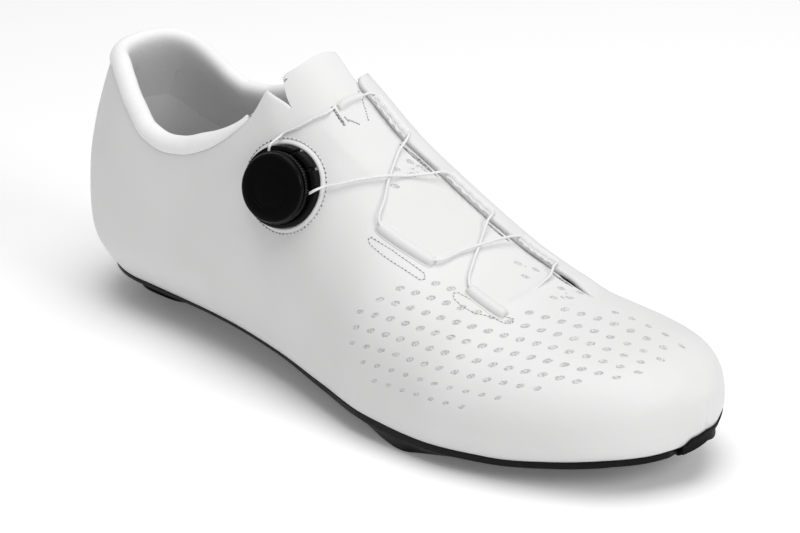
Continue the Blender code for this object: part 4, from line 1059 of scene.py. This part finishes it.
def make_toe_pad(finish):
    """The rubber round the toe: a lip outside the plate's edge with a foot under it, and a low bumper that
    stands up against the upper, carried round the outline."""
    medial_first, lateral_first = to_turn(TOE_PAD_MEDIAL + 0.003), to_turn(TOE_PAD_START)
    medial_turns = medial_first + (LAST_TURN - medial_first) * np.linspace(0, 1, 40)
    lateral_turns = lateral_first + (LAST_TURN - lateral_first) * np.linspace(0, 1, 22)
    lateral, _ = sole_outline(lateral_turns, 0.0)
    _, medial = sole_outline(medial_turns, 0.0)
    lateral_out, _ = sole_outline(lateral_turns, -1.0)
    _, medial_out = sole_outline(medial_turns, -1.0)
    tip = np.array([[HEEL_BACK + LENGTH, (lateral[-1, 1] + medial[-1, 1]) / 2]])
    path = np.concatenate([lateral[:, :2], tip, medial[::-1, :2]])
    outward = np.concatenate([(lateral_out - lateral)[:, :2], [[1.0, 0.0]], (medial_out - medial)[::-1, :2]])
    along = np.concatenate([lateral_turns, [1 - 1e-4], medial_turns[::-1]])
    medial_place = to_place(medial_turns[::-1])
    medial_rise = BUMPER_RISE + (BUMPER_MEDIAL - BUMPER_RISE) * (1 - ease(medial_place, 0.975, 0.995))
    rise = np.concatenate([BUMPER_RISE * ease(to_place(lateral_turns), TOE_PAD_START, 0.9965), [BUMPER_RISE],
                           medial_rise * ease(medial_place, TOE_PAD_MEDIAL, 0.966)])
    is_lateral = np.arange(len(along)) <= len(lateral_turns)
    swell = PAD_PROUD * PAD_SWELL
    profile = [(PAD_PROUD, "edge", 0.0), (PAD_PROUD * 1.1, "edge", -PAD_DROP / 2), (swell, "edge", -PAD_DROP),
               (0.0005, "foot", 0.0014), (-0.0012, "foot", 0.0005), (-0.0028, "foot", 0.0),
               (-PAD_REACH, "foot", 0.0004), (-PAD_REACH, "plate", 0.0), (-PAD_LIP, "plate", 0.0),
               (-PAD_LIP, "edge", 0.0), (GAP, "edge", 0.0), (GAP, "bumper", 0.5), (GAP, "bumper", 0.96),
               (GAP * 1.3, "bumper", 1.0), (PAD_PROUD * 0.8, "bumper", 1.0), (PAD_PROUD, "bumper", 0.93),
               (swell, "bumper", 0.5)]
    rings = []
    for out, level, height in profile:
        if level == "bumper":
            across = np.where(is_lateral, rise * height, 4 - rise * height)
            normal = form_normals(along, across)
            normal[len(lateral_turns)] = (1, 0, 0)
            rings.append(form_points(along, across) + normal * out)
            continue
        spot = path + outward * out
        edge = edge_height(np.minimum(spot[:, 0], path[:, 0])) - GAP
        under = plate_bottom(np.minimum(spot[:, 0], HEEL_BACK + LENGTH)) - GAP
        foot = np.minimum(edge - PAD_DROP - PAD_FOOT, under - PAD_THICKNESS)
        base = {"edge": edge, "plate": under, "foot": foot}[level]
        rings.append(np.column_stack([spot, base + height]))
    points, faces = end_fans(np.array(rings).transpose(1, 0, 2))
    pad = add_piece("toe_rubber", points, faces, finish, crease=35, outward=True)
    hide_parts("toe_pad")


def make_insole(finish):
    """The insole: a sheet on the plate, slightly cupped towards its edge."""
    along = np.concatenate([-np.cos(np.linspace(0.25, pi / 2, 24))[:-1], to_turn(np.linspace(HEEL_X, 0.99, 90))])
    lateral, medial = sole_outline(along, WALL + INSOLE_MARGIN)
    spread = np.linspace(0, 1, 25)
    bottom = lateral[:, None] + (medial - lateral)[:, None] * spread[:, None]
    top = bottom.copy()
    top[..., 2] += INSOLE_THICKNESS + 0.0004 * np.cos(spread * 2 * pi)
    points, faces = end_fans(np.concatenate([top, bottom[:, ::-1]], axis=1))
    # In the lining finish it lies below the gradient, so it is painted grey all over: painted shade of the deep
    # inside
    sole = add_piece("insole_sheet", points, faces, finish, crease=50, outward=True)
    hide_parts("insole")


# The lace's two ends on the dial, by rows of angle, distance from the axis and height over the base's top
FIRST_START = ((116.0, 0.0130, 0.0003), (113.0, 0.0146, 0.0007), (110.0, 0.0161, 0.0001))
SECOND_START = ((0.5, 0.0130, 0.0003), (4.5, 0.0146, 0.0007), (8.5, 0.0163, 0.0001))
# Lace, by rows of place, place across and height over the form
FIRST_RUN = (
    (0.4058, 1.521, 0.0010), (0.4233, 1.594, 0.0009), (0.4360, 1.663, 0.0009), (0.4480, 1.746, 0.0009),
    (0.4510, 1.800, -0.0006), (0.4570, 1.870, -0.0006), (0.4605, 1.935, 0.0006), (0.4640, 1.985, 0.0026),
    (0.4720, 2.020, 0.0034), (0.4950, 2.023, 0.0034), (0.5180, 2.022, 0.0034), (0.5235, 1.985, 0.0030),
    (0.5280, 1.930, 0.0014), (0.5340, 1.877, 0.0009), (0.5410, 1.815, 0.0009), (0.5470, 1.765, 0.0009),
    (0.5560, 1.700, 0.0009), (0.5630, 1.632, 0.0011), (0.5690, 1.618, 0.0011), (0.6050, 1.660, 0.0011),
    (0.6420, 1.703, 0.0011), (0.6475, 1.728, 0.0011), (0.6540, 1.823, 0.0009), (0.6610, 1.915, 0.0016),
    (0.6660, 1.990, 0.0022), (0.6710, 2.085, 0.0030), (0.6760, 2.160, 0.0034), (0.7000, 2.195, 0.0034),
    (0.7270, 2.195, 0.0034), (0.7335, 2.128, 0.0030), (0.7410, 2.060, 0.0014), (0.7440, 1.990, 0.0009),
    (0.7455, 1.950, 0.0003), (0.7460, 1.920, -0.0012),
)
SECOND_RUN = (
    (0.4860, 1.524, 0.0012), (0.498, 1.570, 0.0009), (0.520, 1.672, 0.0009), (0.541, 1.780, 0.0018),
    (0.5560, 1.880, 0.0009), (0.565, 1.949, 0.0020), (0.571, 2.010, 0.0032), (0.5780, 2.070, 0.0034),
    (0.6050, 2.108, 0.0034), (0.6350, 2.122, 0.0034), (0.6425, 2.040, 0.0030), (0.6500, 1.990, 0.0016),
    (0.6610, 1.925, 0.0009), (0.6740, 1.835, 0.0009), (0.6870, 1.758, 0.0010), (0.6950, 1.738, 0.0011),
    (0.7150, 1.736, 0.0010), (0.7400, 1.736, 0.0006),
)


def make_lace(name, start, rows, nodes, finish):
    """One run of the lace from the dial's base: a round tube along a smooth curve through its rows, with the
    turn round it and the length along it kept for the braid."""
    angle, away, height = np.array(start).T
    place, across, lift = np.array(rows).T
    first = dial_points(np.radians(angle), away, BASE_TOP + height)
    control = np.concatenate([first, raised(to_turn(place), across, lift)])
    length = np.linalg.norm(np.diff(control, axis=0), axis=1).sum()
    path = curve_through(control, int(length / 0.0006))
    sides = 10
    radius = np.full(len(path), LACE_RADIUS)
    radius[[0, -1]] = 1e-6
    grid = tube_grid(path, radius, sides)
    turn, away = np.meshgrid(np.arange(sides) / sides, np.arange(len(path)) * 0.0006)
    braid = np.stack([turn, away, 0 * turn], -1).reshape(-1, 3)
    faces = [grid_faces(len(path), sides, ring_columns=True)]
    lace = add_piece(name, grid, faces, finish, {"braid": braid}, crease=70, outward=True)
    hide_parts(*nodes)


def make_ridge(name, node, ends, width, height, hem, finish, scallop=0.0, rows=48, columns=25,
               taper=(0.22, 8)):
    """A guide: a rounded ridge over the form between two ends, with a thin hem on both sides. Its sides are
    found by walking over the form squarely to its line. It narrows towards both ends by a share, with a
    power of the distance from its middle."""
    (place_1, across_1, lift_1), (place_2, across_2, lift_2) = ends
    t = np.linspace(0, 1, rows)
    place, across = place_1 + (place_2 - place_1) * t, across_1 + (across_2 - across_1) * t
    along = to_turn(place)
    line, normal = form_points(along, across), form_normals(along, across)
    direction = unit(line[-1] - line[0])
    sideways = unit(np.cross(normal, direction))
    s = np.linspace(-1, 1, columns)
    narrow = 1 - taper[0] * np.abs(2 * t - 1) ** taper[1]
    wavy = 1 + scallop * np.sin(t[:, None] * 2 * pi * 5.3 + 0.6) * (s < 0)
    reach = s * narrow[:, None] * width / 2 * wavy
    start = (in_columns(values, columns) for values in (along, across, sideways))
    grid_along, grid_across = walk(*start, reach, 3)
    lift = (lift_1 + (lift_2 - lift_1) * t)[:, None]
    over = np.clip(1 - (s / 0.74) ** 2, 0, 1) ** 0.6
    close = ease(t, 0, 0.05) * (1 - ease(t, 0.95, 1)) * 0.35 + 0.65
    edge = np.sqrt(np.clip(1 - np.abs(s) ** 14, 0, 1))
    rise = (hem * edge + (height - hem) * over * close[:, None]) * np.clip(close[:, None] * 1.05, 0, 1) + lift
    relief = skin_relief(to_place(grid_along), grid_across)
    base, out = form_points(grid_along, grid_across), form_normals(grid_along, grid_across)
    top = base + out * (rise + relief)[..., None]
    bottom = base + out * (lift + relief - 0.0003)[..., None]
    points, faces = end_fans(np.concatenate([top, bottom[:, ::-1]], axis=1))
    ridge = add_piece(name, points, faces, finish, crease=60, outward=True)
    if node:
        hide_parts(node)


def make_guides(skin_finish, textile, holes):
    """The guides on the flap, the slit with its patch, and the textile tubes on the medial edge."""
    guides = (("guide_a", ((0.566, 1.612, 0), (0.644, 1.702, 0)), 0.0066, 0.0022),
              ("guide_b", ((0.693, 1.735, 0), (0.751, 1.735, 0)), 0.0066, 0.0022))
    for name, ends, width, height in guides:
        make_ridge(name + "_ridge", name, ends, width, height, 0.0002, skin_finish)
    make_ridge("slit_ridge", "guide_slit", ((0.454, 1.800, 0), (0.461, 1.950, 0)), 0.0042, 0.0011, 0.0001,
               skin_finish)
    # Painted shade: a thin dark lens in the hole finish lies on the slit's mouth, standing in for the shade
    # inside it
    make_ridge("slit_shade", None, ((0.4475, 1.777, 0), (0.4710, 1.774, 0)), 0.0011, 0.00024, 0.00012,
               holes, scallop=0.2)
    for number, start, end in ((1, 0.468, 0.520), (2, 0.574, 0.638), (3, 0.674, 0.728)):
        edges, _ = throat_edge(np.array([start, end]))
        ends = ((start, edges[0] + 0.030, EDGE_LIFT), (end, edges[1] + 0.030, EDGE_LIFT))
        make_ridge(f"textile_tube_{number}", f"tube_{number}", ends, 0.0042, 0.0020, 0.0004, textile,
                   scallop=0.16)
    # Painted shade: thin dark strips in the hole finish lie on the flap in the gaps under the medial edge between
    # the tubes
    gaps = ((1, 0.522, 0.572, 0.0017), (2, 0.640, 0.672, 0.0012), (3, 0.731, 0.768, 0.0012))
    for number, start, end, width in gaps:
        edges, _ = throat_edge(np.array([start, end]))
        ends = ((start, edges[0] - 0.030, 0), (end, edges[1] - 0.030, 0))
        make_ridge(f"edge_gap_shade_{number}", None, ends, width, 0.00022, 0.00012, holes,
                   taper=(0.95, 2))


def capsules(line, tangent, normal, length, width, turn=0.0):
    """Short closed rods along a line: their points and faces. Each is an ellipsoid of five rings of six
    points, turned in the surface by an angle from the line."""
    side = unit(np.cross(normal, tangent))
    forward = tangent * np.cos(turn)[:, None] + side * np.sin(turn)[:, None]
    side = unit(np.cross(normal, forward))
    reach = np.linspace(-pi / 2, pi / 2, 5)
    around = np.linspace(0, 2 * pi, 6, endpoint=False)
    radius = np.maximum(np.cos(reach), 1e-4)[:, None] ** 0.6 * width / 2
    circle = np.cos(around)[:, None] * side[:, None] + np.sin(around)[:, None] * normal[:, None]
    points = line[:, None, None] + forward[:, None, None] * (np.sin(reach) * length / 2)[:, None, None]
    points = points + circle[:, None] * radius[None, :, :, None]
    block = grid_faces(5, 6, ring_columns=True)
    faces = (block[None] + np.arange(len(line))[:, None, None] * 30).reshape(-1, 4)
    return points.reshape(-1, 3), faces


def make_stitches(name, along, across, spacing, thread, holes, turn=0.0, width=0.0005, share=0.62):
    """A sewn line on the skin: a thread's stitches at even steps along rows of the form's two parameters,
    with needle holes between them, drawn as small dark rods of painted shade. A turn slants every second
    stitch one way and the others the other way."""
    along, across = np.asarray(along, float), np.asarray(across, float)
    points = form_points(along, across)
    length = run_lengths(points)
    count = max(int(round(length[-1] / spacing)), 2)
    # The needle holes are small dark rods in the hole finish: painted shade in the holes
    for kind, finish, shift in (("thread", thread, 0.5), ("holes", holes, 1.0)):
        at = (np.arange(count) + shift) * length[-1] / count
        here_along, here_across = np.interp(at, length, along), np.interp(at, length, across)
        ahead = np.clip(at + 0.0003, 0, length[-1])
        behind = np.clip(at - 0.0003, 0, length[-1])
        tangent = unit(form_points(np.interp(ahead, length, along), np.interp(ahead, length, across))
                       - form_points(np.interp(behind, length, along), np.interp(behind, length, across)))
        normal = form_normals(here_along, here_across)
        lift = skin_relief(to_place(here_along), here_across) + (0.00006 if kind == "thread" else -0.00004)
        line = form_points(here_along, here_across) + normal * lift[:, None]
        slant = turn * (1 - 2 * (np.arange(count) % 2))
        size = spacing * share if kind == "thread" else width * 1.3
        grid, faces = capsules(line, tangent, normal, size, width * (1 if kind == "thread" else 1.15), slant)
        add_piece(f"{name}_{kind}", grid, [faces], finish, crease=80, outward=True)


# Sewn lines on the flap, by rows of place and place across
SEWN_LINES = (
    ("seam_guide_a", ((0.567, 1.550), (0.594, 1.591), (0.618, 1.614), (0.643, 1.634), (0.648, 1.618),
                      (0.644, 1.596), (0.614, 1.568), (0.589, 1.541), (0.569, 1.524), (0.564, 1.535),
                      (0.567, 1.550)), 0.0016, 0.0),
    ("seam_guide_b", ((0.688, 1.686), (0.708, 1.703), (0.736, 1.712), (0.761, 1.744), (0.765, 1.722),
                      (0.757, 1.698), (0.739, 1.690), (0.719, 1.654), (0.701, 1.646), (0.689, 1.648),
                      (0.684, 1.666), (0.688, 1.686)), 0.0016, 0.0),
    ("seam_slit", ((0.469, 1.805), (0.481, 1.842)), 0.0006, 1.2),
    ("seam_slit_side", ((0.464, 1.800), (0.471, 1.803)), 0.0006, 1.2),
    ("seam_arc", ((0.453, 1.961), (0.463, 1.943), (0.473, 1.926), (0.484, 1.900)), 0.0012, 0.0),
    ("seam_collar", ((0.358, 1.507), (0.354, 1.492), (0.351, 1.481), (0.346, 1.452)), 0.0008, 0.9),
)


def make_seams(thread, holes):
    """The sewn lines, and the ring of stitches round the dial's raised rim."""
    for name, rows, spacing, turn in SEWN_LINES:
        rows = np.array(rows)
        dense = np.linspace(0, len(rows) - 1, 8 * len(rows))
        place = np.interp(dense, np.arange(len(rows)), rows[:, 0])
        across = np.interp(dense, np.arange(len(rows)), rows[:, 1])
        make_stitches(name, to_turn(place), across, spacing, thread, holes, turn)
    around = np.linspace(0, 2 * pi, 161)
    ring = drop(dial_points(around, 0.0178), DIAL_AXIS, DIAL_PLACE, DIAL_ACROSS)
    make_stitches("seam_dial", ring[0], ring[1], 0.0018, thread, holes, width=0.0006)


def make_welt(finish):
    """The skin's raised rim round the dial's base: a low rounded ring carried over the form."""
    around = np.linspace(0, 2 * pi, 160, endpoint=False)
    rings = []
    for radius, lift in ((0.0154, 0.0), (0.0156, 0.0004), (0.0160, 0.00062), (0.0165, 0.00055), (0.0170, 0.00028),
                         (0.0175, 0.00006), (0.0179, -0.0001), (0.0179, -0.0004), (0.0154, -0.0004)):
        along, across = drop(dial_points(around, radius), DIAL_AXIS, DIAL_PLACE, DIAL_ACROSS)
        relief = skin_relief(to_place(along), across) + lift
        rings.append(raised(along, across, relief))
    faces = [grid_faces(len(rings), len(around), ring_rows=True, ring_columns=True)]
    add_piece("dial_welt", np.array(rings), faces, finish, crease=60, outward=True)


def make_dial(base_finish, face_finish):
    """The lace dial: a base ring whose foot is sunk into the skin, and a stepped knob with a knurled rim."""
    around = np.linspace(0, 2 * pi, 240, endpoint=False)
    notch = np.clip(1 - np.abs((around[:, None] - np.radians([72, 37.5])) / 0.045) ** 4, 0, 1).max(axis=1)
    radius = BASE_RADIUS - 0.0012 * notch
    foot = drop(dial_points(around, radius), DIAL_AXIS, DIAL_PLACE, DIAL_ACROSS)
    low = (form_points(*foot) - DIAL_SEAT) @ DIAL_AXIS - 0.0008
    profile = [(radius, low), (radius, np.full(240, BASE_TOP - 0.0009)), (radius - 0.00025, BASE_TOP - 0.0003),
               (radius - 0.0008, BASE_TOP), (0.0139, BASE_TOP), (0.0136, BASE_TOP - 0.0006),
               (0.0100, BASE_TOP - 0.0006), (0.0100, low)]
    grid = turned(profile, around)
    faces = [grid_faces(len(profile), 240, ring_rows=True, ring_columns=True)]
    polish = np.tile([0.45, 0, 0], (grid.shape[0] * grid.shape[1], 1))
    base = add_piece("dial_ring", grid, faces, base_finish, {"polish": polish}, crease=35,
                     outward=True)
    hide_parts("dial_base")

    count = 720
    around = np.linspace(0, 2 * pi, count, endpoint=False)
    knurl = 0.00034 * (0.5 + 0.5 * np.cos(around * 72))
    rim = KNOB_RADIUS
    h = KNOB_LOW
    profile = [(0.0100, h), (rim - 0.0006, h), (rim - knurl, h + 0.0004), (rim - knurl, h + 0.0022),
               (rim - 0.0004, h + 0.0026), (rim - 0.0012, h + 0.0028), (rim - 0.0012, h + 0.0034),
               (rim - 0.0007, h + 0.0037), (rim - 0.0008, h + 0.0043), (rim - 0.0013, h + 0.0050),
               (rim - 0.0022, h + 0.0055), (rim - 0.0036, h + 0.0058), (0.0082, h + 0.0058),
               (0.0080, h + 0.0056), (0.0076, h + 0.0055), (0.0072, h + 0.0056), (0.0070, h + 0.0057),
               (0.0030, h + 0.0057), (0.00001, h + 0.0057)]
    grid = turned(profile, around)
    rows = len(profile)
    faces = [grid_faces(rows, count, ring_columns=True)]
    polish = np.zeros((rows, count, 3))
    polish[:9, :, 0] = 1
    knob = add_piece("dial_cap", grid, faces, face_finish, {"polish": polish.reshape(-1, 3)},
                     crease=32, outward=True)
    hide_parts("dial_knob")


def main():
    """Builds the shoe's pieces, the camera and the studio."""
    make_camera()
    make_studio()
    synthetic, lining, textile = make_upper_finish(), make_lining_finish(), make_textile_finish()
    lace = make_lace_finish()
    make_lace("lace_first", FIRST_START, FIRST_RUN, ("lace_1", "lace_2", "lace_4"), lace)
    make_lace("lace_second", SECOND_START, SECOND_RUN, ("lace_2", "lace_3"), lace)
    make_skin(synthetic, lining)
    make_collar(lining)
    make_plate(make_plate_finish())
    rubber = make_rubber_finish()
    make_heel_pad(rubber)
    make_toe_pad(rubber)
    make_insole(lining)
    thread, holes = make_thread_finish(), make_thread_hole_finish()
    make_guides(synthetic, textile, holes)
    make_seams(thread, holes)
    make_welt(synthetic)
    plastic = make_dial_finish("dial_satin", 0.24, 0.50)
    make_dial(plastic, plastic)


main()
